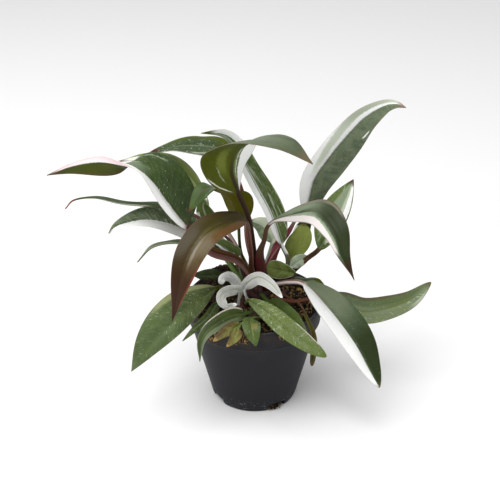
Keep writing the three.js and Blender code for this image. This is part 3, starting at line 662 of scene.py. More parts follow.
# %% The sheet of one finish
class Sheet:
    """The node tree of one finish, with a plain shader at its end."""

    def __init__(self, name):
        self.material = bpy.data.materials.new(name)
        self.material.use_nodes = True
        self.tree = self.material.node_tree
        self.tree.nodes.clear()
        self.shader = self.tree.nodes.new("ShaderNodeBsdfPrincipled")
        out = self.tree.nodes.new("ShaderNodeOutputMaterial")
        self.tree.links.new(self.shader.outputs[0], out.inputs[0])

    def feed(self, node, key, value):
        if isinstance(value, Signal):
            self.tree.links.new(value.socket, node.inputs[key])
        else:
            node.inputs[key].default_value = value

    def node(self, kind, settings, inputs, output=0):
        """Any node: its settings first, then the values or links of its sockets."""
        node = self.tree.nodes.new("ShaderNode" + kind)
        for key, value in settings.items():
            setattr(node, key, value)
        for key, value in inputs.items():
            self.feed(node, key, value)
        return Signal(self, node.outputs[output])

    def vector(self, x, y, z):
        return self.node("CombineXYZ", {}, {0: x, 1: y, 2: z})

    def noise(self, vector, scale=1.0, detail=2.0, roughness=0.5):
        values = {"Vector": vector, "Scale": scale, "Detail": detail, "Roughness": roughness}
        return self.node("TexNoise", {}, values)

    def mix(self, first, second, share):
        """Colour that goes from first to second as share goes from zero to one."""
        return self.node("Mix", {"data_type": "RGBA"}, {0: share, 6: first, 7: second}, 2)

    def field(self, name):
        """The three numbers of a field stored with the mesh."""
        return self.node("Attribute", {"attribute_name": name}, {}, 1).parts()

    def place(self):
        """Object coordinates as a vector, then its three numbers in mm."""
        place = self.node("TexCoord", {}, {}, 3)
        return place, *[part / MM for part in place.parts()]

    def finish(self, colour, roughness, sheen=None, height=None, depth=0.05):
        """Feeds the shader and gives its material. `sheen` is the share of light that the surface
        mirrors, and `height` bumps it by up to `depth` mm."""
        self.feed(self.shader, "Base Color", colour)
        self.feed(self.shader, "Roughness", roughness)
        if sheen is not None:
            self.feed(self.shader, "Specular IOR Level", sheen)
        if height is not None:
            bump = self.node("Bump", {}, {"Strength": 1.0, "Distance": depth * MM, "Height": height})
            self.feed(self.shader, "Normal", bump)
        return self.material


print("a sheet can give", [name for name in vars(Sheet) if not name.startswith("_")])


# %% Colours read off the plant
def tone(code):
    """Linear colour of a six-digit screen colour."""
    channels = [int(code[k : k + 2], 16) / 255 for k in (0, 2, 4)]
    return (*[c / 12.92 if c <= 0.04045 else ((c + 0.055) / 1.055) ** 2.4 for c in channels], 1.0)


GREENS = {
    "deep": "2d3d1e", "green": "465b28", "fresh": "5f7a34", "grey": "5b684a", "leaf": "3f5130",
    "moss": "6a7a40", "moss_dark": "47561f", "shade": "333d20", "dusk": "535f4a", "stone": "727c62",
    "sage": "8f9d82", "mist": "b7c0a9", "lime": "8a9648", "fern": "4c5c34", "straw": "9da274",
    "bottle": "202a0a", "olive": "4d550c", "pickle": "424a04", "amber": "5c5402",
}
PALES = {
    "white": "f6f7f5", "cream": "dcddcf", "silver": "a9aba1", "pearl": "cbccc6", "shell": "e0d8d5",
    "petal": "eccfd2", "blush_white": "e6d6d2", "blush": "b39a90",
}
REDS_AND_BROWNS = {
    "maroon": "4a1319", "wine": "64202d", "plum": "5c3129", "umber": "331a0d", "red": "7b2c2b",
    "rust": "7c3524", "brown": "54402b", "chestnut": "5e3a24", "copper": "6c4720", "earth": "544628",
    "bronze": "393118", "smoke": "6d6048", "ash": "8a8272", "tan": "977d4a", "rose": "7c6058",
    "mauve": "654843", "khaki": "6c5c3c",
}
TONES = {name: tone(code) for name, code in {**GREENS, **PALES, **REDS_AND_BROWNS}.items()}
SOIL_BLACK = tone("120d09")
print(len(TONES), "colours")

# %% [markdown]
# ## The finish of a leaf
# Variegation starts in the growing tip, so a white sector runs along the leaf beside the midrib,
# and where it breaks up it breaks up along the side veins, as dashes and streaks. The finish
# therefore reads distances in mm from the midrib, the margin and the neck, and never the place
# in the room. Each leaf lists its own sectors.
#
# Places on a leaf are shares. Along it, -1 is the root of the stalk, 0 the neck and 1 the tip.
# Across it, -1 is the right margin, 0 the midrib and 1 the left margin. A sector is a colour, its
# start and end along the leaf, its right and left edge at the start, then both at the end.
# "zones" tint the upper face and "under_zones" the lower one, with markings of the leaf and
# with painted shade and painted highlights: a strength and a softness come after the colour, then
# the same six places. "bands" are zones on the stalk.
#
# "top" and "under" colour the two faces, and "cloud" and "under_cloud" are laid over them in
# clouds, as strong as "cloud_share". "flecks" are short pale dashes, "frost" is a fine pale mist
# and "streaks" are long pale lines, each with a strength from 0 to 1. "rib" and "edge" are a
# colour and a strength, "tip_start" is where the tip's own colour begins, "channel" is the middle
# of the stalk, "rough" how dull the leaf is, and "slot" the name of its kind of material.

# %% Look of a common leaf
ALL = (-1.4, 1.4, -1.4, 1.4)
LOOK_DEFAULTS = {
    "top": "deep", "cloud": "green", "cloud_share": 0.7, "under": "olive", "under_cloud": "green",
    "flecks": 0.3, "frost": 0.0, "streaks": 0.0, "rib": ("sage", 0.35), "edge": ("grey", 0.3),
    "tip": "maroon", "tip_start": 0.93, "stalk": "plum", "channel": "maroon", "stalk_edge": "blush",
    "sectors": [], "zones": [], "under_zones": [], "bands": [], "rough": 0.42, "slot": "leaf_green",
}
print("a common leaf is", LOOK_DEFAULTS["top"], "clouded with", LOOK_DEFAULTS["cloud"])

# %% [markdown]
# The crest leaf turns its olive lower face to the front, with a white sector along it. The bronze
# leaf is coppery where the light falls on it and dark at its tip.

# %% Looks of the arching leaves
ARCHING_LOOKS = {
    "crest": {
        "top": "dusk", "cloud": "stone", "flecks": 0.0, "rib": ("dusk", 0.3), "edge": ("rose", 0.6),
        "under": "pickle", "under_cloud": "olive", "tip": "smoke", "tip_start": 0.9,
        "stalk": "umber", "channel": "umber", "stalk_edge": "umber",
        "zones": [
            # painted shade: the far end of the upper face, turned away from the light, is darker
            ("shade", 0.5, 0.12, 0.78, 1.4, *ALL),
            # painted sheen: lighter grey-green where the upper face turns up to the light
            ("stone", 0.3, 0.12, 0.45, 0.8, -0.1, 0.5, -0.1, 0.5),
        ],
        "under_zones": [
            # the white sector, in pure white that also stands for painted light shining through the blade
            ("white", 1.0, 0.03, -0.1, 1.0, 0.42, 1.4, 0.3, 1.4),
            ("moss", 0.8, 0.05, 0.1, 0.7, 0.12, 0.34, 0.12, 0.27),
            ("white", 0.5, 0.02, 0.1, 0.6, 0.24, 0.3, 0.2, 0.24),
            # painted reflection: a lighter lime patch on the olive lower face
            ("lime", 0.4, 0.08, 0.2, 0.45, -0.45, -0.15, -0.5, -0.25),
            ("shade", 0.4, 0.1, 0.4, 0.7, -1.4, 0.1, -1.4, 0.1),
            ("cream", 0.9, 0.02, 0.03, 0.17, -0.72, -0.62, -0.97, -0.9),
            ("mist", 0.5, 0.015, 0.12, 0.24, -0.42, -0.38, -0.5, -0.46),
        ],
    },
    "right_arch": {
        "top": "dusk", "cloud": "stone", "flecks": 0.0, "rib": ("shade", 0.3), "edge": ("rose", 0.6),
        "stalk": "maroon", "channel": "maroon", "stalk_edge": "wine", "tip": "umber", "tip_start": 0.86,
        "bands": [
            ("brown", 0.75, 0.1, -0.5, 0.02, *ALL),
            ("blush", 0.7, 0.06, -1, -0.3, 0.86, 1.4, 0.86, 1.4),
        ],
        "sectors": [
            ("shell", -0.1, 0.8, -1.4, -0.3, -1.4, -0.66),
            ("sage", 0.05, 0.78, -0.3, -0.05, -0.7, -0.35),
        ],
        "zones": [
            ("ash", 0.6, 0.1, 0.05, 0.5, 0.62, 1.4, 0.7, 1.4),
            # painted highlight: lighter sage where the blade faces up near its neck
            ("sage", 0.6, 0.1, 0.1, 0.4, 0.1, 0.7, 0.2, 0.6),
            # painted shade: the bend, turned down and away from the light, near black-green
            ("bottle", 0.9, 0.1, 0.46, 0.97, -0.4, 1.4, -0.6, 1.4),
            # painted highlight: a pale streak along the upper margin of the bend
            ("ash", 0.6, 0.03, 0.45, 0.6, 0.7, 0.9, 0.8, 1.0),
        ],
    },
    "bronze": {
        "top": "earth", "cloud": "smoke", "cloud_share": 0.5, "under": "red", "under_cloud": "bronze",
        "flecks": 0.0, "rib": ("bronze", 0.6), "edge": ("mauve", 0.8), "rough": 0.3,
        "stalk": "plum", "channel": "chestnut", "tip": "umber", "tip_start": 0.9, "slot": "leaf_bronze",
        "bands": [("rose", 0.5, 0.06, -1, 0, 0.85, 1.4, 0.85, 1.4)],
        "zones": [
            ("pickle", 0.55, 0.12, 0.0, 0.4, -0.5, 0.3, -0.6, 0.2),
            ("bronze", 0.9, 0.14, -0.1, 0.28, -1.4, 0.2, -1.4, -0.1),
            ("copper", 0.8, 0.09, 0.05, 0.36, 0.35, 0.9, 0.5, 1.0),
            ("bronze", 0.95, 0.14, 0.3, 1.4, -1.4, -0.2, -1.4, 0.0),
            ("umber", 0.9, 0.14, 0.62, 1.4, *ALL),
            # painted highlight: a pale grey streak across the middle of the blade
            ("ash", 0.7, 0.07, 0.42, 0.6, 0.0, 0.24, 0.06, 0.3),
            ("rust", 0.9, 0.06, 0.62, 0.9, 0.86, 1.4, 0.75, 1.4),
        ],
    },
}
print("looks:", *ARCHING_LOOKS)

# %% [markdown]
# The banner's white half runs from its neck almost to its tip, and shows pink from below. The
# narrow leaves beside it are plainer.

# %% Looks of the left leaves
LEFT_LOOKS = {
    "left_banner": {
        "flecks": 0.5, "frost": 0.12, "rib": ("white", 0.5), "edge": ("stone", 0.2), "tip": "brown",
        "under": "pickle", "under_cloud": "shade", "cloud_share": 0.6, "rough": 0.36,
        "sectors": [("white", -0.1, 0.84, 0.0, 1.4, 0.0, 1.4)],
        "zones": [
            ("sage", 0.5, 0.07, 0.42, 0.62, -0.3, -0.02, -0.5, 0.0),
            ("mist", 0.6, 0.02, 0.46, 0.6, -0.42, -0.36, -0.62, -0.54),
            ("mist", 0.5, 0.02, 0.36, 0.5, -0.84, -0.8, -0.9, -0.86),
            # painted shade near the neck, where other leaves hang over the blade
            ("shade", 0.4, 0.2, -0.1, 0.4, -0.9, -0.3, -0.8, -0.3),
        ],
        "under_zones": [
            ("petal", 0.9, 0.05, 0.45, 1.0, 0.0, 1.4, 0.0, 1.4),
            ("brown", 0.7, 0.06, 0.5, 1.4, -1.4, -0.86, -1.4, -0.8),
        ],
        "bands": [
            ("ash", 0.6, 0.08, -1, 0, -1.4, -0.75, -1.4, -0.75),
            ("chestnut", 0.8, 0.08, -1, 0, -0.7, -0.3, -0.7, -0.3),
            ("olive", 0.7, 0.05, -1, 0, -0.3, -0.15, -0.3, -0.15),
            ("rose", 0.5, 0.15, -1, 0, 0.05, 1.4, 0.05, 1.4),
        ],
    },
    "left_shade": {
        # lime and fresh: the leaf's own yellow-green, lightened as painted light shining through the blade
        "top": "lime", "cloud": "fresh", "flecks": 0.1, "rib": ("lime", 0.3), "edge": ("rose", 0.4),
        "stalk": "blush", "channel": "rose", "slot": "leaf_olive",
        "sectors": [("cream", 0.74, 1.0, -0.2, 1.4, -0.6, 1.4)],
    },
    "left_ribbon": {
        "top": "leaf", "cloud": "dusk", "flecks": 0.0, "streaks": 0.3, "edge": ("bronze", 0.5),
        "under": "leaf", "tip": "rust", "tip_start": 0.88,
        "sectors": [("sage", 0.35, 0.85, 0.1, 0.3, 0.05, 0.25)],
    },
    "left_pale_edge": {
        "top": "leaf", "cloud": "stone", "flecks": 0.75, "frost": 0.4, "edge": ("white", 0.4),
        "rib": ("white", 0.5), "tip": "brown", "tip_start": 0.97,
        "sectors": [("white", -0.1, 1.0, 0.05, 1.4, -0.1, 1.4)],
    },
    "left_narrow": {
        "top": "stone", "cloud": "grey", "flecks": 0.0, "edge": ("sage", 0.6), "rib": ("grey", 0.3),
        "under": "stone", "under_cloud": "stone", "tip": "stone",
        "stalk": "fresh", "channel": "fresh", "stalk_edge": "sage",
    },
}
print("looks:", *LEFT_LOOKS)

# %% [markdown]
# The upper leaves carry the clearest markings: a white half on three of them, shaded with sage,
# and pale streaks that follow the midrib.

# %% Looks of the upper leaves
UPPER_LOOKS = {
    "back_left": {
        "top": "leaf", "cloud": "shade", "flecks": 0.8, "frost": 0.1, "edge": ("white", 0.35),
        "tip_start": 0.9,
        "zones": [
            ("olive", 0.8, 0.1, -0.1, 1.4, -1.4, -0.7, -1.4, -0.7),
            ("olive", 0.9, 0.08, -0.1, 0.3, *ALL),
            ("mist", 0.6, 0.03, 0.3, 0.62, 0.66, 0.8, 0.76, 0.9),
        ],
    },
    "olive_arch": {
        "top": "leaf", "cloud": "green", "flecks": 0.0, "streaks": 0.2, "under": "amber",
        "under_cloud": "olive", "rib": ("rust", 0.5), "edge": ("shade", 0.5), "tip_start": 0.95,
        "stalk": "olive", "channel": "olive", "stalk_edge": "amber", "slot": "leaf_olive",
    },
    "striped": {
        "top": "green", "cloud": "moss", "flecks": 0.5, "frost": 0.25, "streaks": 0.95,
        "rib": ("white", 0.7), "edge": ("blush", 0.2), "tip": "olive",
        "stalk": "smoke", "channel": "grey", "stalk_edge": "blush_white",
        "sectors": [
            ("white", -0.1, 0.6, 0.16, 1.4, 0.2, 1.4), ("white", 0.7, 0.93, -1.4, -0.5, -1.4, -0.1),
        ],
        "zones": [("sage", 0.6, 0.06, 0.7, 0.95, -0.2, 1.4, 0.0, 1.4)],
        "bands": [("white", 0.9, 0.06, -0.35, 0.3, -1.4, 0.1, -1.4, 0.1)],
    },
    "tall_right": {
        "top": "dusk", "cloud": "stone", "flecks": 0.35, "frost": 0.15, "rib": ("white", 0.5),
        "edge": ("blush", 0.25), "tip": "rose", "tip_start": 0.96,
        "stalk": "wine", "channel": "wine", "stalk_edge": "blush",
        "sectors": [("white", -0.1, 0.97, 0.0, 1.4, 0.0, 1.4)],
        "zones": [
            ("mist", 0.8, 0.1, 0.24, 0.98, 0.15, 0.5, 0.55, 1.4),
            ("stone", 0.5, 0.12, 0.62, 1.0, 0.5, 1.4, 0.3, 1.4),
            ("white", 0.9, 0.012, 0.61, 0.68, -0.8, -0.72, -0.86, -0.8),
        ],
        "bands": [
            ("grey", 0.85, 0.1, -0.28, 0.1, *ALL), ("maroon", 0.9, 0.05, -1, -0.4, -0.15, 0.1, -0.15, 0.1),
        ],
    },
    "right_upright": {
        "top": "green", "cloud": "moss", "flecks": 0.3, "frost": 0.3, "streaks": 0.5,
        "rib": ("sage", 0.5), "edge": ("green", 0.2),
        "stalk": "brown", "channel": "brown", "stalk_edge": "olive",
        "sectors": [
            ("mist", 0.1, 1.0, -0.5, 0.0, -0.45, 0.0), ("white", 0.15, 0.92, -0.84, -0.4, -0.9, -0.35),
        ],
        "zones": [("sage", 0.85, 0.06, 0.2, 1.0, 0.0, 0.7, 0.0, 0.45)],
    },
}
print("looks:", *UPPER_LOOKS)

# %% [markdown]
# The inner leaves are yellower, paler and less marked than the grown ones.

# %% Looks of the inner leaves
INNER_LOOKS = {
    "back_right": {
        "top": "lime", "cloud": "moss", "flecks": 0.0, "rib": ("lime", 0.4), "tip": "brown",
        "stalk": "moss", "channel": "fresh", "slot": "leaf_olive",
    },
    "back_flecked": {
        "flecks": 0.6, "stalk": "moss", "channel": "moss",
        "sectors": [("cream", -0.1, 0.6, 0.4, 1.4, 0.7, 1.4)],
    },
    "small_green": {
        "top": "moss_dark", "cloud": "lime", "cloud_share": 0.5, "flecks": 0.15, "frost": 0.2,
        "edge": ("cream", 0.5), "tip": "fresh", "rib": ("fresh", 0.2),
        "stalk": "green", "channel": "green", "slot": "leaf_olive",
    },
    "back_sage": {
        "top": "grey", "cloud": "sage", "flecks": 0.2, "edge": ("cream", 0.3), "tip": "sage",
        "stalk": "sage", "channel": "sage", "sectors": [("mist", -0.1, 0.9, -1.4, 0.1, -1.4, 0.0)],
    },
    "back_cream": {
        "top": "sage", "cloud": "mist", "under": "sage", "under_cloud": "mist", "flecks": 0.0,
        "edge": ("mist", 0.3), "rib": ("sage", 0.4), "tip": "sage",
        "stalk": "sage", "channel": "mist", "slot": "leaf_cream",
    },
    "inner_striped": {
        "top": "green", "cloud": "moss", "flecks": 0.3, "streaks": 0.6, "edge": ("cream", 0.3),
        "tip": "green", "stalk": "sage", "channel": "green",
        "sectors": [("white", -0.1, 1.0, 0.15, 0.5, 0.1, 0.35)],
    },
    "inner_left": {
        "top": "green", "cloud": "moss", "flecks": 0.4, "edge": ("cream", 0.3), "rib": ("cream", 0.5),
        "tip": "cream", "stalk": "cream", "channel": "blush",
        "sectors": [("cream", -0.1, 0.6, 0.4, 1.4, 0.6, 1.4)],
    },
}
print("looks:", *INNER_LOOKS)

# %% [markdown]
# The low right leaf is white on one half and deep green on the other. Most of the others are
# flecked and frosted all over.

# %% Looks of the leaves over the right rim
RIGHT_RIM_LOOKS = {
    "low_right": {
        "top": "leaf", "cloud": "dusk", "flecks": 0.35, "frost": 0.12, "rib": ("white", 0.8),
        "edge": ("grey", 0.2), "tip": "smoke", "tip_start": 0.97,
        "stalk": "blush_white", "channel": "blush_white", "stalk_edge": "blush",
        "sectors": [("white", -0.1, 1.0, -1.4, -0.05, -1.4, 0.0)],
        "bands": [("plum", 0.8, 0.08, -1, 0.02, -0.1, 0.75, -0.1, 0.75)],
        "zones": [
            # painted sheen: paler grey-green where the blade faces up near its neck
            ("stone", 0.8, 0.15, 0.0, 0.4, 0.1, 1.4, 0.1, 0.8),
            # painted shade: the hanging end, which faces down, near black-green
            ("bottle", 0.88, 0.15, 0.5, 1.4, 0.1, 1.4, 0.1, 1.4),
        ],
    },
    "right_wing": {
        "top": "stone", "cloud": "moss", "flecks": 0.8, "frost": 0.2, "rib": ("green", 0.3),
        "edge": ("mauve", 0.5), "tip": "brown", "tip_start": 0.96,
        "stalk": "plum", "channel": "chestnut", "stalk_edge": "olive",
        "sectors": [("blush_white", 0.26, 0.36, -1.4, -0.8, -1.4, -0.8)],
        "zones": [
            ("mist", 0.7, 0.05, 0.8, 0.93, -1.4, -0.55, -1.4, -0.6),
            ("leaf", 0.5, 0.12, 0.1, 1.0, 0.3, 1.4, 0.3, 1.4),
            ("moss_dark", 0.4, 0.12, 0.55, 0.88, 0.0, 1.4, 0.0, 1.4),
            ("brown", 0.55, 0.1, -0.1, 0.85, 0.75, 1.4, 0.8, 1.4),
        ],
    },
    "rim_curl": {
        "top": "dusk", "cloud": "green", "flecks": 0.0, "edge": ("sage", 0.3), "tip": "olive",
        "tip_start": 0.6, "stalk": "green", "channel": "dusk", "slot": "leaf_withered",
    },
    "front_right": {
        "top": "moss", "cloud": "moss_dark", "cloud_share": 0.6, "flecks": 0.8, "frost": 0.6,
        "streaks": 0.2, "rib": ("moss_dark", 0.3), "edge": ("moss_dark", 0.3), "tip": "green",
        "tip_start": 0.96, "stalk": "moss", "channel": "moss_dark", "stalk_edge": "lime",
        "zones": [
            ("moss_dark", 0.6, 0.2, 0.5, 1.4, *ALL),
            ("blush_white", 0.6, 0.03, 0.6, 0.88, 0.93, 1.4, 0.88, 1.4),
        ],
    },
    "front_under": {
        "top": "moss_dark", "cloud": "green", "flecks": 0.1, "frost": 0.15, "tip": "green",
        "rib": ("green", 0.3), "stalk": "green", "channel": "green",
        "sectors": [("white", -0.1, 0.28, -1.4, -0.2, -1.4, -0.5)],
    },
}
print("looks:", *RIGHT_RIM_LOOKS)

# %% [markdown]
# The leaves at the front are older: moss green, with pale margins, tan spots and brown edges.

# %% Looks of the leaves over the front and left rim
FRONT_RIM_LOOKS = {
    "front_left": {
        "top": "shade", "cloud": "moss_dark", "flecks": 0.3, "edge": ("sage", 0.4),
        "rib": ("sage", 0.08), "tip": "green",
        "stalk": "green", "channel": "green", "stalk_edge": "sage",
        "zones": [
            ("blush_white", 0.7, 0.07, 0.0, 0.6, -1.4, -0.76, -1.4, -0.9),
            ("stone", 0.6, 0.07, 0.1, 1.0, 0.45, 1.4, 0.4, 1.4),
        ],
    },
    "withered": {
        "top": "brown", "cloud": "lime", "cloud_share": 0.7, "under": "tan", "under_cloud": "khaki",
        "flecks": 0.0, "edge": ("brown", 0.9), "rib": ("lime", 0.2), "tip": "tan", "tip_start": 0.88,
        "rough": 0.6, "stalk": "moss", "channel": "moss", "stalk_edge": "tan", "slot": "leaf_withered",
        "zones": [("brown", 0.6, 0.1, 0.55, 0.95, -1.4, 0.3, -1.4, 0.3)],
    },
    "front_small": {
        "top": "moss_dark", "cloud": "leaf", "cloud_share": 0.8, "flecks": 0.05, "frost": 0.25,
        "edge": ("moss_dark", 0.3), "tip": "green", "rib": ("lime", 0.25),
        "stalk": "moss", "channel": "green", "stalk_edge": "lime",
        "zones": [("tan", 0.35, 0.06, 0.3, 0.5, 0.0, 0.7, 0.0, 0.7)],
    },
    "low_left": {
        "top": "fern", "cloud": "moss", "cloud_share": 0.5, "flecks": 0.72, "frost": 0.25,
        "rib": ("moss", 0.1), "edge": ("rose", 0.5), "tip": "grey",
        "stalk": "olive", "channel": "olive", "stalk_edge": "moss",
        "zones": [
            ("straw", 0.8, 0.06, -0.1, 0.58, -1.4, -0.52, -1.4, -0.84),
            ("leaf", 0.6, 0.2, 0.55, 1.4, *ALL),
        ],
    },
    "low_left_under": {
        "top": "moss_dark", "cloud": "deep", "flecks": 0.5, "frost": 0.3, "tip": "deep", "rough": 0.3,
        "stalk": "green", "channel": "green",
    },
    "on_soil": {
        "top": "shade", "cloud": "deep", "flecks": 0.05, "tip": "deep", "edge": ("deep", 0.3),
        "rib": ("deep", 0.2), "stalk": "green", "channel": "green",
    },
}
print("looks:", *FRONT_RIM_LOOKS)

# %% [markdown]
# Without green tissue a blade is almost white, with a faint green line where some is left. The
# dry strip is brown and olive.

# %% Looks of the pale and dry leaves
PALE_LOOKS = {
    "white_hook": {
        "top": "pearl", "cloud": "white", "under": "pearl", "under_cloud": "white", "flecks": 0.0,
        "rib": ("white", 0.5), "edge": ("white", 0.4), "tip": "silver",
        "stalk": "blush_white", "channel": "blush", "stalk_edge": "pearl", "slot": "leaf_cream",
    },
    "white_curl": {
        "top": "silver", "cloud": "pearl", "cloud_share": 0.9, "under": "pearl",
        "under_cloud": "white", "flecks": 0.0, "rib": ("sage", 0.15), "edge": ("white", 0.4),
        "tip": "white", "stalk": "pearl", "channel": "mist", "stalk_edge": "pearl",
        "slot": "leaf_cream",
    },
    "white_arch": {
        "top": "pearl", "cloud": "silver", "cloud_share": 0.4, "under": "pearl",
        "under_cloud": "silver", "flecks": 0.0, "rib": ("pearl", 0.4), "edge": ("white", 0.4),
        "tip": "white", "stalk": "pearl", "channel": "white", "stalk_edge": "pearl",
        "slot": "leaf_cream", "sectors": [("sage", 0.15, 0.95, 0.14, 0.3, 0.1, 0.26)],
    },
    "dry_strip": {
        "top": "bronze", "cloud": "olive", "under": "brown", "under_cloud": "tan", "flecks": 0.0,
        "rib": ("brown", 0.3), "edge": ("brown", 0.5), "tip": "brown", "rough": 0.6,
        "stalk": "plum", "channel": "brown", "slot": "leaf_withered",
    },
}
print("looks:", *PALE_LOOKS)

# %% All looks
LOOKS = {
    **ARCHING_LOOKS, **LEFT_LOOKS, **UPPER_LOOKS, **INNER_LOOKS,
    **RIGHT_RIM_LOOKS, **FRONT_RIM_LOOKS, **PALE_LOOKS,
}
print(len(LOOKS), "looks")

# %% [markdown]
# A painted picture could carry these looks, but it would blur close up and would fit one leaf
# only. Noises stretched along the side veins or along the midrib give each leaf its own clouds
# and flecks instead. They are mixed in the order in which a blade is built: tissue, then sectors,
# shading, midrib, margin and tip, and the stalk last, because it runs on under the blade.

# %% Noises and places of a leaf
VEIN_LEAN = 0.9
VEIN_STEP = 1.7
# stretch ahead and across, shift, scale, detail and roughness of each noise
VEIN_NOISES = {"streak": (0.75, 0.2, 0.0, 1.0, 3.0, 0.6), "dash": (1.7, 0.5, 11.3, 1.0, 2.0, 0.5)}
RIB_NOISES = {
    "cloud": (0.1, 0.22, 5.5, 1.0, 3.0, 0.6), "grain": (0.14, 2.1, 7.9, 1.0, 3.0, 0.6),
    "speck": (1.0, 1.0, 3.7, 3.4, 1.0, 0.5), "stripe": (0.07, 1.0, 2.1, 1.0, 3.0, 0.55),
    "fine": (0.8, 2.4, 4.4, 1.5, 3.0, 0.7),
}


class LeafSheet(Sheet):
    """A sheet that knows its place on the leaf: the shares q across and t along, one for under on
    the lower face, and in mm how far off the midrib, how far past the neck and how wide it is."""

    def __init__(self, name, seed):
        super().__init__(name)
        self.seed = seed
        self.q, self.t, self.under = self.field("where")
        self.across, self.ahead, self.width = self.field("span")
        self.off_rib = abs(self.across)
        self.vein = self.ahead - self.off_rib * VEIN_LEAN
        for kind in ("streak", "dash", "cloud", "grain", "speck"):
            setattr(self, kind, self.pattern(kind))

    def pattern(self, kind):
        """One of the noises. Those of the side veins lean with them."""
        run = self.vein if kind in VEIN_NOISES else self.ahead
        ahead, across, shift, *rest = {**VEIN_NOISES, **RIB_NOISES}[kind]
        return self.noise(self.vector(run * ahead, self.across * across, self.seed + shift), *rest)

    def zone(self, q, places, soft):
        """One inside a zone: between two edges across the leaf, and between start and end."""
        start, end, right_0, left_0, right_1, left_1 = places
        share = ((self.t - start) / (end - start)).clipped()
        right = share * (right_1 - right_0) + right_0
        left = share * (left_1 - left_0) + left_0
        across = (q - right).rise(-soft, soft) * (1 - (q - left).rise(-soft, soft))
        return across * self.t.rise(start - soft, start + soft) * (1 - self.t.rise(end - soft, end + soft))

    def shaded(self, colour, q, zones):
        """The colour with soft zones laid over it in turn."""
        for name, strength, soft, *places in zones:
            colour = self.mix(colour, TONES[name], self.zone(q, places, soft) * strength)
        return colour


print(len(VEIN_NOISES) + len(RIB_NOISES), "noises")

# %% Tissue and flecks
# where a noise starts to show as a fleck or a streak, and how much sooner at full strength
FLECK_START, FLECK_GAIN = 0.76, 0.16
STREAK_START, STREAK_GAIN = 0.66, 0.12


def tissue(leaf, look):
    """Both faces: two tones clouded together, and pale marks on the upper one."""
    clouding = (leaf.streak * 0.25 + leaf.grain * 0.3 + leaf.cloud * 0.65).rise(0.46, 0.74)
    clouding = clouding * look["cloud_share"]
    top = leaf.mix(TONES[look["top"]], TONES[look["cloud"]], clouding)
    top = leaf.mix(TONES["shade"], top, leaf.cloud.rise(0.26, 0.5) * 0.2 + 0.8)
    below = leaf.mix(TONES[look["under"]], TONES[look["under_cloud"]], clouding)
    below = leaf.mix(below, TONES["lime"], leaf.streak.rise(0.6, 0.8) * 0.2)
    if look["streaks"]:
        low = STREAK_START - STREAK_GAIN * look["streaks"]
        top = leaf.mix(top, TONES["mist"], leaf.pattern("stripe").rise(low, low + 0.1) * 0.8)
    if look["frost"]:
        frost = leaf.pattern("fine").rise(0.46, 0.7) * leaf.streak.rise(0.36, 0.6)
        top = leaf.mix(top, TONES["mist"], frost * look["frost"])
    if look["flecks"]:
        low = FLECK_START - FLECK_GAIN * look["flecks"]
        marks = leaf.dash.rise(low, low + 0.05) * 0.8 + leaf.speck.rise(low + 0.03, low + 0.1) * 0.45
        top = leaf.mix(top, TONES["mist"], marks.clipped() * leaf.cloud.rise(0.28, 0.5))
    return leaf.mix(top, below, leaf.under)


def sectored(leaf, look, colour):
    """The colour with its pale sectors, ragged at their edges, and its shading."""
    ragged = leaf.q + (leaf.streak - 0.5) * 0.16 + (leaf.cloud - 0.5) * 0.1
    for sector_tone, *places in look["sectors"]:
        pale = leaf.mix(TONES[sector_tone], TONES["sage"], leaf.dash.rise(0.62, 0.78) * 0.25)
        pale = leaf.mix(pale, TONES["petal"], leaf.under * 0.35)
        colour = leaf.mix(colour, pale, leaf.zone(ragged, places, 0.03))
    if look["zones"]:
        colour = leaf.mix(leaf.shaded(colour, ragged, look["zones"]), colour, leaf.under)
    if look["under_zones"]:
        colour = leaf.mix(colour, leaf.shaded(colour, ragged, look["under_zones"]), leaf.under)
    return colour


print("flecks show from a noise of", FLECK_START, "upwards")

# %% Leaf finish
# the share of light that a leaf mirrors, and reach in mm of the midrib's and the margin's colour
LEAF_SHEEN = 0.15
RIB_REACH = (0.2, 0.5)
MARGIN_REACH = (0.08, 0.4)


def stalk_colour(leaf, look):
    """Pale sides, a darker band up the middle, then the leaf's own bands, dark grain and painted shade on
    the lower side.
    """
    middle = 1 - abs(leaf.q).rise(0.15, 0.6)
    colour = leaf.mix(TONES[look["stalk"]], TONES[look["channel"]], middle)
    colour = leaf.mix(colour, TONES[look["stalk_edge"]], abs(leaf.q).rise(0.84, 1.0) * 0.45)
    colour = leaf.shaded(colour, leaf.q, look["bands"])
    # random dark grain, and painted shade on the stalk's lower side
    return leaf.mix(colour, TONES["shade"], leaf.grain.rise(0.5, 0.8) * 0.3 + leaf.under * 0.12)


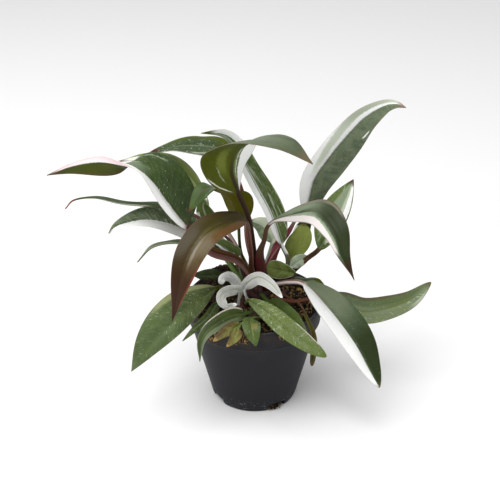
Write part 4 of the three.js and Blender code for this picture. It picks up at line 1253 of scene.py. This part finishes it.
def leaf_finish(name, look, seed):
    """Tissue and sectors, then midrib, margin, tip and stalk over them. The side veins show as
    low ridges."""
    leaf = LeafSheet(name + "_finish", seed)
    colour = sectored(leaf, look, tissue(leaf, look))
    t, off_rib = leaf.t, leaf.off_rib
    rib_tone, rib_share = look["rib"]
    on_rib = (1 - off_rib.rise(*RIB_REACH)) * (1 - t.rise(0.6, 0.95))
    colour = leaf.mix(colour, TONES[rib_tone], on_rib * rib_share)
    edge_tone, edge_share = look["edge"]
    on_edge = 1 - (leaf.width - off_rib).rise(*MARGIN_REACH)
    colour = leaf.mix(colour, TONES[edge_tone], on_edge * edge_share)
    at_tip = t.rise(look["tip_start"] - 0.03, look["tip_start"] + 0.05)
    colour = leaf.mix(colour, TONES[look["tip"]], at_tip * 0.85)
    fading = (1 - off_rib.rise(0.5, 0.95)) * (1 - t.rise(0.1, 0.5)) * (leaf.under * 0.7 + 0.2)
    on_stalk = (1 - t.rise(-0.03, 0.03)) + fading
    colour = leaf.mix(colour, stalk_colour(leaf, look), on_stalk.clipped())
    ridges = (leaf.vein * (2 * math.pi / VEIN_STEP)).sine() * off_rib.rise(0.3, 1.2) * t.rise(0.0, 0.1)
    rough = leaf.streak * 0.12 + leaf.under * 0.12 + (look["rough"] - 0.06)
    relief = ridges * 0.1 + leaf.grain * 0.45 + leaf.speck * 0.25
    return leaf.finish(colour, rough, LEAF_SHEEN, relief)


print("side veins stand", VEIN_STEP, "mm apart")

# %% Make the leaves
# the withered leaf is split, so a second blade is part of the same piece
LOBES = {"withered": "withered_lobe"}


def leaf_sides(name, number):
    """The leaf's surface, then that of its lobe if it has one."""
    blades = [name] + ([LOBES[name]] if name in LOBES else [])
    shapes = [{**SHAPE_DEFAULTS, **SHAPES[blade]} for blade in blades]
    return [leaf_surface(shape, number + 0.5 * k) for k, shape in enumerate(shapes)]


for number, (name, own_look) in enumerate(LOOKS.items()):
    look = {**LOOK_DEFAULTS, **own_look}
    grids, fields = zip(*leaf_sides(name, number))
    stored = {key: np.vstack([field[key] for field in fields]) for key in ("where", "span")}
    piece = add_piece(name + "_leaf", *joined(grids), stored, look["slot"], "leaf_" + name)
    piece.data.materials.append(leaf_finish(name, look, 1.7 * number))
print(len(LOOKS), "leaves made")

# %% [markdown]
# ## The pot
# A thin pot is blown or moulded in one wall: a tapered cup, a wider band under the lip that lets
# the pots stack apart, and notches at the foot for drainage. A lathe profile gives the form, and
# the notches are cut from it with a Boolean, as they break both the wall and the floor.

# %% Pot sizes
POT_HEIGHT = 48.0
RIM_RADIUS = 30.0
BASE_RADIUS = 19.0
BAND_HEIGHT = 9.0
WALL = 1.2
LIP_THICKNESS = 2.1
LIP_ROUND = 0.6
BAND_ROUND = 0.35
BAND_STEP = 1.5
FOOT_ROUND = 0.8
AXIS_GAP = 0.05
POT_SEGMENTS = 192
NOTCH_COUNT = 4
NOTCH_FIRST_ANGLE = -59.0
NOTCH_WIDTH = 9.0
NOTCH_HEIGHT = 3.6
NOTCH_SIDE = 1.4
NOTCH_DEPTH = 4.5


def pot_inside(z):
    """Inner radius, a straight taper from foot to lip."""
    foot, top = BASE_RADIUS - WALL, RIM_RADIUS - LIP_THICKNESS
    return foot + (top - foot) * z / POT_HEIGHT


print("the pot is", round(2 * pot_inside(POT_HEIGHT), 1), "mm wide inside its lip")


# %% Pot profile
def arc_points(centre, radius, start, end, count):
    """Points on a circle's arc, for a rounded corner of a profile."""
    angle = np.radians(np.linspace(start, end, count))
    return [(centre[0] + radius * math.cos(a), centre[1] + radius * math.sin(a)) for a in angle]


def line_points(start, end, shares):
    """Points on the straight line between two places of a profile."""
    return [tuple(a + (b - a) * k for a, b in zip(start, end)) for k in shares]


def pot_profile():
    """Out along the foot, up the wall and the band, over the lip, down inside and back in."""
    band = POT_HEIGHT - BAND_HEIGHT
    under_band = RIM_RADIUS - BAND_STEP
    corner = (BASE_RADIUS - FOOT_ROUND, FOOT_ROUND)
    profile = [(AXIS_GAP, 0.0), (BASE_RADIUS - 2, 0.0)]
    profile += arc_points(corner, FOOT_ROUND, -90, -10, 6)
    profile += line_points((BASE_RADIUS, 0), (under_band, band - 0.5), np.linspace(0.06, 0.99, 14))
    profile += [(under_band + 0.15, band - BAND_ROUND)]
    profile += arc_points((under_band + 0.4, band + 0.25), BAND_ROUND, -70, 0, 5)
    band_start, band_end = (under_band + 0.76, band + 0.4), (RIM_RADIUS, POT_HEIGHT - 0.8)
    profile += line_points(band_start, band_end, np.linspace(0.02, 1, 8))
    profile += arc_points((RIM_RADIUS - LIP_ROUND, POT_HEIGHT - LIP_ROUND), LIP_ROUND, 10, 170, 9)
    inside_z = (POT_HEIGHT - 1.6, POT_HEIGHT - 3, band, 20, 6, WALL + 1)
    profile += [(pot_inside(z), z) for z in inside_z]
    return profile + [(pot_inside(WALL) - 1, WALL), (AXIS_GAP, WALL)]


print("the profile has", len(pot_profile()), "points")


# %% Turn the pot and cut its notches
def turned(profile, segments):
    """Every profile point (radius, height) goes once round the upright axis."""
    r, z = np.array(profile).T
    angle = np.linspace(0, 2 * math.pi, segments, endpoint=False)
    x, y = np.outer(r, np.cos(angle)), np.outer(r, np.sin(angle))
    return np.stack([x, y, np.broadcast_to(z[:, None], x.shape)], -1)


def notch_block(angle):
    """An arched block pushed in from outside: a half-ellipse over a square, drawn inwards."""
    lift = np.linspace(0, math.pi, 13)
    arch_x = NOTCH_WIDTH / 2 * np.cos(lift)
    arch_z = NOTCH_SIDE + (NOTCH_HEIGHT - NOTCH_SIDE) * np.sin(lift) ** 0.7
    x = np.concatenate([[NOTCH_WIDTH / 2], arch_x, [-NOTCH_WIDTH / 2]])
    z = np.concatenate([[-1.0], arch_z, [-1.0]])
    rings = [np.stack([x, 0 * x + y, z], -1) for y in (BASE_RADIUS + 3, BASE_RADIUS - NOTCH_DEPTH)]
    turn = math.radians(angle - 90)
    cos, sin = math.cos(turn), math.sin(turn)
    return np.array(rings) @ np.array([[cos, sin, 0], [-sin, cos, 0], [0, 0, 1]])


pot = grid_piece("nursery_pot", turned(pot_profile(), POT_SEGMENTS), "pot_plastic", "pot")
cutters = []
for number in range(NOTCH_COUNT):
    block = notch_block(NOTCH_FIRST_ANGLE + 360 / NOTCH_COUNT * number)
    cutters.append(grid_piece(f"notch_{number}", block, "pot_plastic"))
    cut = pot.modifiers.new("notch", "BOOLEAN")
    cut.object, cut.solver = cutters[-1], "EXACT"
shaped = bpy.data.meshes.new_from_object(pot.evaluated_get(bpy.context.evaluated_depsgraph_get()))
pot.modifiers.clear()
pot.data = shaped
for cutter in cutters:
    bpy.data.objects.remove(cutter)
pot.data.set_sharp_from_angle(angle=math.radians(35))
print("pot has", len(pot.data.polygons), "faces")

# %% [markdown]
# The plastic is charcoal grey and dull. What makes it look used is what has touched it: pale
# scuffs near the foot, a greyer worn lip, and a film of dried peat under the rim. Noises place
# them, because they have to follow the height on the pot and nothing else.

# %% Pot finish
POT_SHEEN = 0.16
# heights in mm between which the scuffs of the foot end, the peat film starts and the lip wears
SCUFFS_END = (2.0, 9.0)
FILM_START = (30.0, 44.0)
LIP_WEAR = (POT_HEIGHT - 0.5, POT_HEIGHT - 0.1)


def pot_finish():
    """Charcoal plastic, then scuffs, the worn lip and the dried film, in that order."""
    sheet = Sheet("pot_plastic_finish")
    place, x, y, z = sheet.place()
    fine = sheet.noise(place, 2600.0, 3.0, 0.6)
    broad = sheet.noise(place, 90.0, 4.0, 0.6)
    scratch = sheet.noise(sheet.vector(x * 0.55 + z * 0.2, y * 0.55, z * 1.6), 1.0, 4.0, 0.7)
    plastic = sheet.mix(tone("15161a"), tone("1e1f24"), broad)
    at_foot = scratch.rise(0.57, 0.65) * (1 - z.rise(*SCUFFS_END)) * fine.rise(0.35, 0.6) * 0.7
    scuff = (at_foot + scratch.rise(0.7, 0.74) * 0.3).clipped()
    colour = sheet.mix(plastic, tone("a2a4a5"), scuff)
    worn = z.rise(*LIP_WEAR) * fine.rise(0.35, 0.6) * 0.5
    colour = sheet.mix(colour, tone("6d6c6a"), worn)
    radius = sheet.node("VectorMath", {"operation": "LENGTH"}, {0: sheet.vector(x, y, 0.0)}, 1)
    inner = 1 - (radius - pot_inside(z)).rise(0.3, 0.5)
    film = broad.rise(0.45, 0.7) * z.rise(*FILM_START) * 0.3
    dust = (film + inner * fine.rise(0.4, 0.7) * 0.5).clipped()
    colour = sheet.mix(colour, tone("4a3c2c"), dust)
    rough = broad * 0.12 + 0.5 + dust * 0.2
    return sheet.finish(colour, rough, POT_SHEEN, fine * 0.6 + scratch * 0.4, 0.03)


pot.data.materials.clear()
pot.data.materials.append(pot_finish())
print("pot finish:", len(pot.data.materials[0].node_tree.nodes), "nodes")

# %% [markdown]
# ## The soil
# Peat has no outline of its own, only crumbs of many sizes. The surface is a round grid raised
# by random heights of three sizes, and loose crumbs, chips of bark and threads of coir lie on it,
# because at the pot's edge a real heap breaks up into separate bits.

# %% Soil surface
SOIL_LEVEL = 45.8
SOIL_HEAP = {"x": -16.0, "y": 18.0, "height": 6.5, "spread": 9.0}
SOIL_RINGS = 74
SOIL_SEGMENTS = 300
SOIL_FOOT = 1.5
# taken off again, as lumps only add, and by how much the soil sinks near the wall, from which
# radius and over how many mm
LUMPS_MEAN = 0.9
WALL_SINK, SINK_START, SINK_REACH = 0.6, 24.5, 3.0
# height, size across and power of the three sizes of lumps
LUMPS = [(1.3, 4.5, 1), (1.1, 1.9, 2), (0.7, 0.8, 2)]


def lumps(x, y, size, seed):
    """Smooth random height from 0 to 1: random numbers on a square lattice, blended between its
    corners with a smooth step."""
    table = np.random.default_rng(seed).random((97, 97))
    u, v = x / size + 48.3, y / size + 48.7
    i, j = np.floor(u).astype(int) % 96, np.floor(v).astype(int) % 96
    f, g = smooth(u - np.floor(u)), smooth(v - np.floor(v))
    near = table[i, j] * (1 - f) + table[i + 1, j] * f
    far = table[i, j + 1] * (1 - f) + table[i + 1, j + 1] * f
    return near * (1 - g) + far * g


def soil_height(x, y):
    """Level plus the heap, a bell curve, plus lumps of three sizes, sunk a little at the wall."""
    bell = ((x - SOIL_HEAP["x"]) ** 2 + (y - SOIL_HEAP["y"]) ** 2) / (2 * SOIL_HEAP["spread"] ** 2)
    rough = sum(high * lumps(x, y, size, k + 1) ** power for k, (high, size, power) in enumerate(LUMPS))
    edge = smooth((np.hypot(x, y) - SINK_START) / SINK_REACH)
    return SOIL_LEVEL + SOIL_HEAP["height"] * np.exp(-bell) + rough - LUMPS_MEAN - WALL_SINK * edge


def soil_grid():
    """Rings from the middle out to the wall, down along it and in to the middle of the foot."""
    top_r = np.linspace(AXIS_GAP, pot_inside(SOIL_LEVEL) - 0.1, SOIL_RINGS)
    down_z = np.array([44.0, 36.0, 20.0, 3.0, SOIL_FOOT])
    down_r = pot_inside(down_z) - np.array([0.3, 0.3, 0.3, 0.3, 1.6])
    r = np.concatenate([top_r, down_r, [8.0, AXIS_GAP]])
    angle = np.linspace(0, 2 * math.pi, SOIL_SEGMENTS, endpoint=False)
    x, y = np.outer(r, np.cos(angle)), np.outer(r, np.sin(angle))
    z = soil_height(x, y)
    z[SOIL_RINGS:] = np.concatenate([down_z, [SOIL_FOOT, SOIL_FOOT]])[:, None]
    return np.stack([x, y, z], -1)


soil = grid_piece("peat", soil_grid(), "soil", "soil")
print("soil has", len(soil.data.polygons), "faces")

# %% [markdown]
# A crumb needs few faces, because there are thousands. Each is a ball of twenty triangles, shaken
# and stretched at random, so no two look alike, and all crumbs of a kind share one mesh. A random
# shade is stored with each, for its finish to read.

# %% A ball, and many of it
GOLDEN = (1 + 5**0.5) / 2
BALL_CORNERS = 12
dice = np.random.default_rng(11)


def ball():
    """Twelve corners at the ends of three golden rectangles, and their twenty triangles."""
    corners = [(a, b * GOLDEN, 0) for a in (-1, 1) for b in (-1, 1)]
    corners = np.array([np.roll(c, k) for k in range(3) for c in corners], float)
    picks = range(BALL_CORNERS)
    triples = [(i, j, k) for i in picks for j in picks[i + 1 :] for k in picks[j + 1 :]]
    span = np.linalg.norm(corners[:, None] - corners[None], axis=2)
    faces = [t for t in triples if max(span[t[0], t[1]], span[t[1], t[2]], span[t[0], t[2]]) < 2.1]
    a, b, c = (corners[[face[k] for face in faces]] for k in range(3))
    inwards = np.sum(a * np.cross(b, c), axis=1) < 0
    faces = [face[::-1] if flip else face for face, flip in zip(faces, inwards)]
    return corners / np.linalg.norm(corners[0]), np.array(faces)


def scattered(name, places, sizes):
    """A piece with one copy of the ball at each place, its corners shaken, stretched by its three
    sizes and turned by a random orthogonal matrix."""
    corners, faces = ball()
    count = len(places)
    shaken = corners[None] * (1 + 0.35 * (dice.random((count, BALL_CORNERS, 1)) - 0.5))
    frames = np.linalg.qr(dice.normal(size=(count, 3, 3)))[0]
    frames *= np.sign(np.linalg.det(frames))[:, None, None]
    points = np.einsum("nij,nkj->nki", frames, shaken * sizes[:, None]) + places[:, None]
    every = (faces[None] + BALL_CORNERS * np.arange(count)[:, None, None]).reshape(-1, 3)
    shade = np.repeat(dice.random(count), BALL_CORNERS)
    return add_piece(name, points.reshape(-1, 3), every.tolist(), {"shade": shade}, "soil")


print("a ball has", len(ball()[1]), "faces")


# %% Crumbs and bark chips
LOOSE_REACH = 27.0


def on_soil(count, inner, outer):
    """Places at random over the soil between two radii, as many for each equal area."""
    r = np.sqrt(dice.uniform(inner**2, outer**2, count))
    angle = dice.uniform(0, 2 * math.pi, count)
    x, y = r * np.cos(angle), r * np.sin(angle)
    return np.stack([x, y, soil_height(x, y)], -1)


def crumbs(name, count, size, flat):
    """Crumbs of many sizes about the given one, flattened by a share and lifted by a little of
    their size, so that they lie on the soil."""
    places = on_soil(count, 0, LOOSE_REACH)
    sizes = size * dice.lognormal(0, 0.35, (count, 1)) * dice.uniform(0.6, 1.4, (count, 3))
    sizes[:, 2] *= flat
    return scattered(name, places + [0, 0, 0.2 * size], sizes)


loose = [crumbs("peat_crumbs", 2600, 0.5, 1.0), crumbs("bark_chips", 420, 0.8, 0.45)]
print("loose bits:", [len(bits.data.polygons) for bits in loose], "faces")

# %% [markdown]
# Coir threads are thin tubes along gentle random curves. They could be curve objects with a
# bevel, but a tube on the same grids as everything else needs no conversion.


# %% Coir threads
def tube(path, radius, sides=4):
    """A ring of `sides` points carried along the path, square to it, thinning to its end."""
    path = np.asarray(path, float)
    forward = np.gradient(path, axis=0)
    forward /= np.linalg.norm(forward, axis=1)[:, None]
    guide = np.array([0.31, 0.77, 0.56])
    first = np.cross(forward, guide)
    first /= np.linalg.norm(first, axis=1)[:, None]
    second = np.cross(forward, first)
    angle = np.linspace(0, 2 * math.pi, sides, endpoint=False)
    radius = radius * np.linspace(1, 0.35, len(path))[:, None, None]
    cos, sin = np.cos(angle)[None, :, None], np.sin(angle)[None, :, None]
    return path[:, None] + radius * (first[:, None] * cos + second[:, None] * sin)


def bundle(name, grids):
    """Several closed grids in one piece, each with its own random shade."""
    shade = np.concatenate([np.full(grid[..., 0].size, dice.random()) for grid in grids])
    return add_piece(name, *joined(grids), {"shade": shade}, "soil")


def coir_thread(place):
    """A curve through the place: a line at a random turn, bowed sideways and lifted at one end."""
    turn = dice.uniform(0, 2 * math.pi)
    share = np.linspace(-1, 1, 7)[:, None]
    line = np.array([[math.cos(turn), math.sin(turn), 0.0]]) * share * dice.uniform(1.2, 3.2)
    bow = np.array([[-math.sin(turn), math.cos(turn), 0.0]]) * share**2 * dice.uniform(-1.2, 1.2)
    lift = np.array([[0, 0, 1.0]]) * (0.35 + dice.uniform(-0.2, 0.5) * share)
    path = place + line + bow + lift
    inside = np.minimum(1, LOOSE_REACH / np.hypot(path[:, 0], path[:, 1]))
    path[:, :2] *= inside[:, None]
    return tube(path, dice.uniform(0.07, 0.16))


strands = bundle("coir_threads", [coir_thread(place) for place in on_soil(170, 3, 26)])
print("coir threads:", len(strands.data.polygons), "faces")

# %% [markdown]
# In the photo bunches of coir threads hang over the lip with crumbs of peat caught in them, and a
# clump of roots pokes out of the notch at the front right. Both are the same tubes and crumbs,
# led along other paths.

# %% Threads over the lip
# degrees round the pot from +X, half-width in degrees, number of threads, how far they hang
LIP_BUNCHES = [(-127, 4, 18, 8.5), (-98, 6, 18, 4.5), (-63, 6, 18, 4.0), (-152, 5, 5, 3.0)]
# radius and height of the way over the lip, then of its hanging end before the drop
OVER_LIP = [(27.2, 46.6), (28.8, 48.3), (30.0, 48.5), (30.5, 47.6)]
HANGING_END = 47.0


def hanging(angle, drop, spread):
    """From the soil, over the lip and down outside the band, with a small side step."""
    a, b = math.radians(angle), math.radians(angle + spread)
    end = [(30.6, HANGING_END - drop / 2, b), (30.5, HANGING_END - drop, (a + b) / 2)]
    points = [(r, z, a) for r, z in OVER_LIP] + end
    return through([(r * math.cos(k), r * math.sin(k), z) for r, z, k in points], 5)


over_lip, fallen = [], []
for centre, width, count, drop in LIP_BUNCHES:
    for _ in range(count):
        start, share = centre + dice.uniform(-width, width), dice.uniform(0.35, 1)
        path = hanging(start, drop * share, dice.uniform(-5, 5))
        over_lip.append(tube(path, dice.uniform(0.12, 0.24)))
        for caught in (path[8], path[-8], path[-3]):
            fallen.append(caught + dice.uniform(-0.5, 0.5, 3))
bundle("lip_threads", over_lip)
scattered("lip_crumbs", np.array(fallen), 0.42 * dice.uniform(0.5, 1.5, (len(fallen), 3)))
print(len(over_lip), "threads over the lip, with", len(fallen), "crumbs")

# %% Roots in the notch
ROOT_COUNT = 26
ROOT_SIDES = 5
NOTCH_CRUMBS = 60
notch = math.radians(NOTCH_FIRST_ANGLE)
notch_out = np.array([math.cos(notch), math.sin(notch), 0.0])
notch_side = np.array([-math.sin(notch), math.cos(notch), 0.0])


def in_notch(out, side, high):
    """A place by its distance from the pot's axis, its side step and its height."""
    return notch_out * out + notch_side * side + [0, 0, high]


def notch_root():
    """From inside the pot, through the notch and down to the floor outside."""
    side, out, lower = dice.uniform(-3.6, 1.5), dice.uniform(18.6, 20.6), dice.uniform(0.3, 1.4)
    ends = [in_notch(16.5, side * 0.6, 2.4), in_notch(18.6, side, dice.uniform(1.6, 3.0))]
    ends.append(in_notch(out, side + dice.uniform(-1, 1), lower))
    return tube(through(ends, 6), dice.uniform(0.12, 0.3), ROOT_SIDES)


bundle("notch_roots", [notch_root() for _ in range(ROOT_COUNT)])
spots = notch_out * dice.uniform(17.6, 19.6, (NOTCH_CRUMBS, 1))
spots += notch_side * dice.uniform(-3.8, 2.5, (NOTCH_CRUMBS, 1))
spots[:, 2] = dice.uniform(0.7, 2.2, NOTCH_CRUMBS)
scattered("notch_crumbs", spots, 0.45 * dice.uniform(0.6, 1.5, (NOTCH_CRUMBS, 3)))
print(ROOT_COUNT, "roots and", NOTCH_CRUMBS, "crumbs in the notch")

# %% [markdown]
# The peat is wet and near black on the left, and shows dry tan fibre towards the right. One rise
# along x sets how dry it is, and both the surface and the loose bits read it. The bits differ by
# their stored shade as well.

# %% Soil finishes
DRY_FROM, DRY_TO = -14.0, 8.0
LEAST_DRY = 0.25
SOIL_SHEEN = 0.2


def dryness(x, least_dry):
    """Share of dry fibre, from the least on the left to one on the right."""
    return x.rise(DRY_FROM, DRY_TO) * (1 - least_dry) + least_dry


def peat_finish():
    """Black to brown in broad patches, with specks of dry fibre where it is dry."""
    sheet = Sheet("peat_finish")
    place, x, _, _ = sheet.place()
    broad, fine = sheet.noise(place, 260.0, 4.0, 0.65), sheet.noise(place, 1300.0, 3.0, 0.6)
    colour = sheet.mix(SOIL_BLACK, tone("33261a"), broad.rise(0.35, 0.7))
    fibre = fine.rise(0.6, 0.68) * broad.rise(0.4, 0.6) * dryness(x, LEAST_DRY)
    colour = sheet.mix(colour, tone("84693f"), fibre)
    return sheet.finish(colour, fine * 0.2 + 0.8, SOIL_SHEEN, broad * 0.5 + fine, 0.35)


def bits_finish(name, dark, light, pale_share, least_dry=LEAST_DRY):
    """Each bit takes its own shade from the random number stored with it."""
    sheet = Sheet(name + "_finish")
    shade = sheet.node("Attribute", {"attribute_name": "shade"}, {}, 2)
    place, x, _, _ = sheet.place()
    grain = sheet.noise(place, 1500.0, 2.0, 0.6)
    share = shade.rise(1 - pale_share, 1.0) * dryness(x, least_dry)
    colour = sheet.mix(tone(dark), tone(light), share)
    colour = sheet.mix(colour, SOIL_BLACK, grain.rise(0.45, 0.75) * 0.5)
    return sheet.finish(colour, grain * 0.2 + 0.78, SOIL_SHEEN, grain, 0.1)


soil.data.materials.append(peat_finish())
BITS = {
    ("peat_crumbs", "bark_chips"): bits_finish("crumb", "1a130c", "94784a", 0.5),
    ("coir_threads",): bits_finish("thread", "3a2a1a", "9c8050", 0.9),
    ("lip_threads", "lip_crumbs"): bits_finish("lip_thread", "4a3420", "a1875a", 0.8, 0.9),
    ("notch_roots", "notch_crumbs"): bits_finish("notch_root", "1a120b", "5a4328", 0.6),
}
for piece_names, finish in BITS.items():
    for piece_name in piece_names:
        bpy.data.objects[piece_name].data.materials.append(finish)
print(len(BITS), "finishes for loose bits")

# %% [markdown]
# ## The crowns
# All leaves of a young plant grow from one short stem, wrapped in the papery red feet of old
# stalks. Each crown is a turned stem with lengthwise ridges, and the lowest stalks bury their
# feet in it.

# %% Crown shapes
# place, half-widths, height of the top, and lean away from the pot's axis in degrees
CROWNS = {
    "main": (1.5, 9.2, 7.8, 9.4, 53.5, 0), "front": (-6, -4.2, 3.6, 4.2, 50.5, 6),
    "right": (12.8, 2, 2.1, 2.3, 51, 4), "back_right": (16.2, 17.2, 3.6, 3.6, 51, 15),
    "left": (-12.6, 6, 2.6, 5.4, 50, 4), "rim": (0.2, -14.4, 3.8, 3.6, 49.5, 0),
}
CROWN_FOOT = 36.0
CROWN_ROWS = 26
CROWN_SEGMENTS = 96
SCALE_STEP = 2.2


def crown_surface(x, y, rx, ry, top, lean):
    """A turned stem with its half-widths for radii and a domed top, swollen by three lobes and by
    rings of five flaring scales, leaning away from the pot's axis."""
    up = np.linspace(0, 1, CROWN_ROWS)[:, None]
    height = CROWN_FOOT + (top - CROWN_FOOT) * up**0.7
    share = np.sqrt(np.clip(1 - up**3, 0, 1)) * (0.6 + 0.4 * smooth(3 * up)) + 0.01
    angle = np.linspace(0, 2 * math.pi, CROWN_SEGMENTS, endpoint=False)[None, :]
    lump = 1 + 0.07 * share * np.sin(3 * angle + 0.4 * height)
    ring = height / SCALE_STEP
    scales = np.abs(np.sin(5 * angle + 1.7 * np.floor(ring))) * (ring % 1)
    ridge = 0.95 + 0.12 * scales + 0.03 * np.sin(29 * angle - 0.5 * height)
    out = (height - SOIL_LEVEL) * math.tan(math.radians(lean)) / math.hypot(x, y)
    return np.stack([
        x + share * np.cos(angle) * rx * lump * ridge + out * x,
        y + share * np.sin(angle) * ry * lump * ridge + out * y,
        height + 0.6 * share * (1 - share) * np.sin(5 * angle),
    ], -1)


print("a crown has", CROWN_ROWS * CROWN_SEGMENTS, "points")


# %% Crown finish
def crown_finish():
    """Red and brown fibre along the stem, with pale dry patches, peat between the scales and painted shade
    near the soil.
    """
    sheet = Sheet("crown_finish")
    place, x, y, z = sheet.place()
    fibre = sheet.noise(sheet.vector(x * 2.2, y * 2.2, z * 0.5), 1.0, 3.0, 0.6)
    patch = sheet.noise(place, 320.0, 3.0, 0.6)
    colour = sheet.mix(tone("2a110e"), tone("5c2c22"), fibre.rise(0.35, 0.7))
    colour = sheet.mix(colour, tone("8c6a44"), patch.rise(0.6, 0.7) * 0.6)
    colour = sheet.mix(colour, SOIL_BLACK, (1 - patch.rise(0.36, 0.46)) * 0.8)
    # painted shade: darker towards the soil, where the stem meets the peat
    colour = sheet.mix(colour, tone("17110c"), (1 - z.rise(SOIL_LEVEL - 0.5, SOIL_LEVEL + 3.0)) * 0.7)
    return sheet.finish(colour, fibre * 0.2 + 0.55, height=fibre + patch * 0.5, depth=0.25)


crown_look = crown_finish()
for name, sizes in CROWNS.items():
    piece = grid_piece(name + "_crown", crown_surface(*sizes), "crown", "crown_" + name)
    piece.data.materials.append(crown_look)
print(len(CROWNS), "crowns made")

# %% [markdown]
# ## Floor and light
# The photo's light is soft and comes from above and in front, as from a large window, so the
# leaves show broad dull highlights and the shadow under the plant is faint. A large panel above
# the camera gives that light, a smaller one from the left opens the shaded side, and a pale
# surrounding keeps the whites white.

# %% Floor
FLOOR_X, FLOOR_Y = (-2, 2), (-1.5, 3)
corners = [(FLOOR_X[i], FLOOR_Y[j], 0) for i, j in ((0, 0), (1, 0), (1, 1), (0, 1))]
floor_mesh = bpy.data.meshes.new("floor")
floor_mesh.from_pydata(corners, [], [(0, 1, 2, 3)])
floor = bpy.data.objects.new("floor", floor_mesh)
bpy.context.scene.collection.objects.link(floor)
floor_mesh.materials.append(Sheet("floor_finish").finish((0.9, 0.9, 0.9, 1.0), 0.9))
print("the floor is", FLOOR_X[1] - FLOOR_X[0], "m wide")

# %% Lights
LIT_SPOT = (0, 0, 0.07)
SURROUNDING = 0.6


def panel(name, place, size, watts):
    """A square light in metres that faces the middle of the plant."""
    light = bpy.data.lights.new(name, "AREA")
    light.shape, light.size, light.energy = "SQUARE", size, watts
    lamp = bpy.data.objects.new(name, light)
    lamp.location = place
    away = np.array(place) - np.array(LIT_SPOT)
    tilt = math.atan2(math.hypot(away[0], away[1]), away[2])
    lamp.rotation_euler = (tilt, 0, math.atan2(away[0], -away[1]))
    bpy.context.scene.collection.objects.link(lamp)


panel("window", (-0.25, -0.3, 1.0), 0.8, 9.6)
panel("left_fill", (-0.8, -0.3, 0.35), 0.5, 1.6)
world = bpy.data.worlds.new("surrounding")
bpy.context.scene.world = world
world.use_nodes = True
world.node_tree.nodes["Background"].inputs["Color"].default_value = (1.0, 1.0, 1.0, 1.0)
world.node_tree.nodes["Background"].inputs["Strength"].default_value = SURROUNDING
bpy.context.scene.view_settings.view_transform = "Standard"
print(len(bpy.data.lights), "panels and a surrounding")

# %% [markdown]
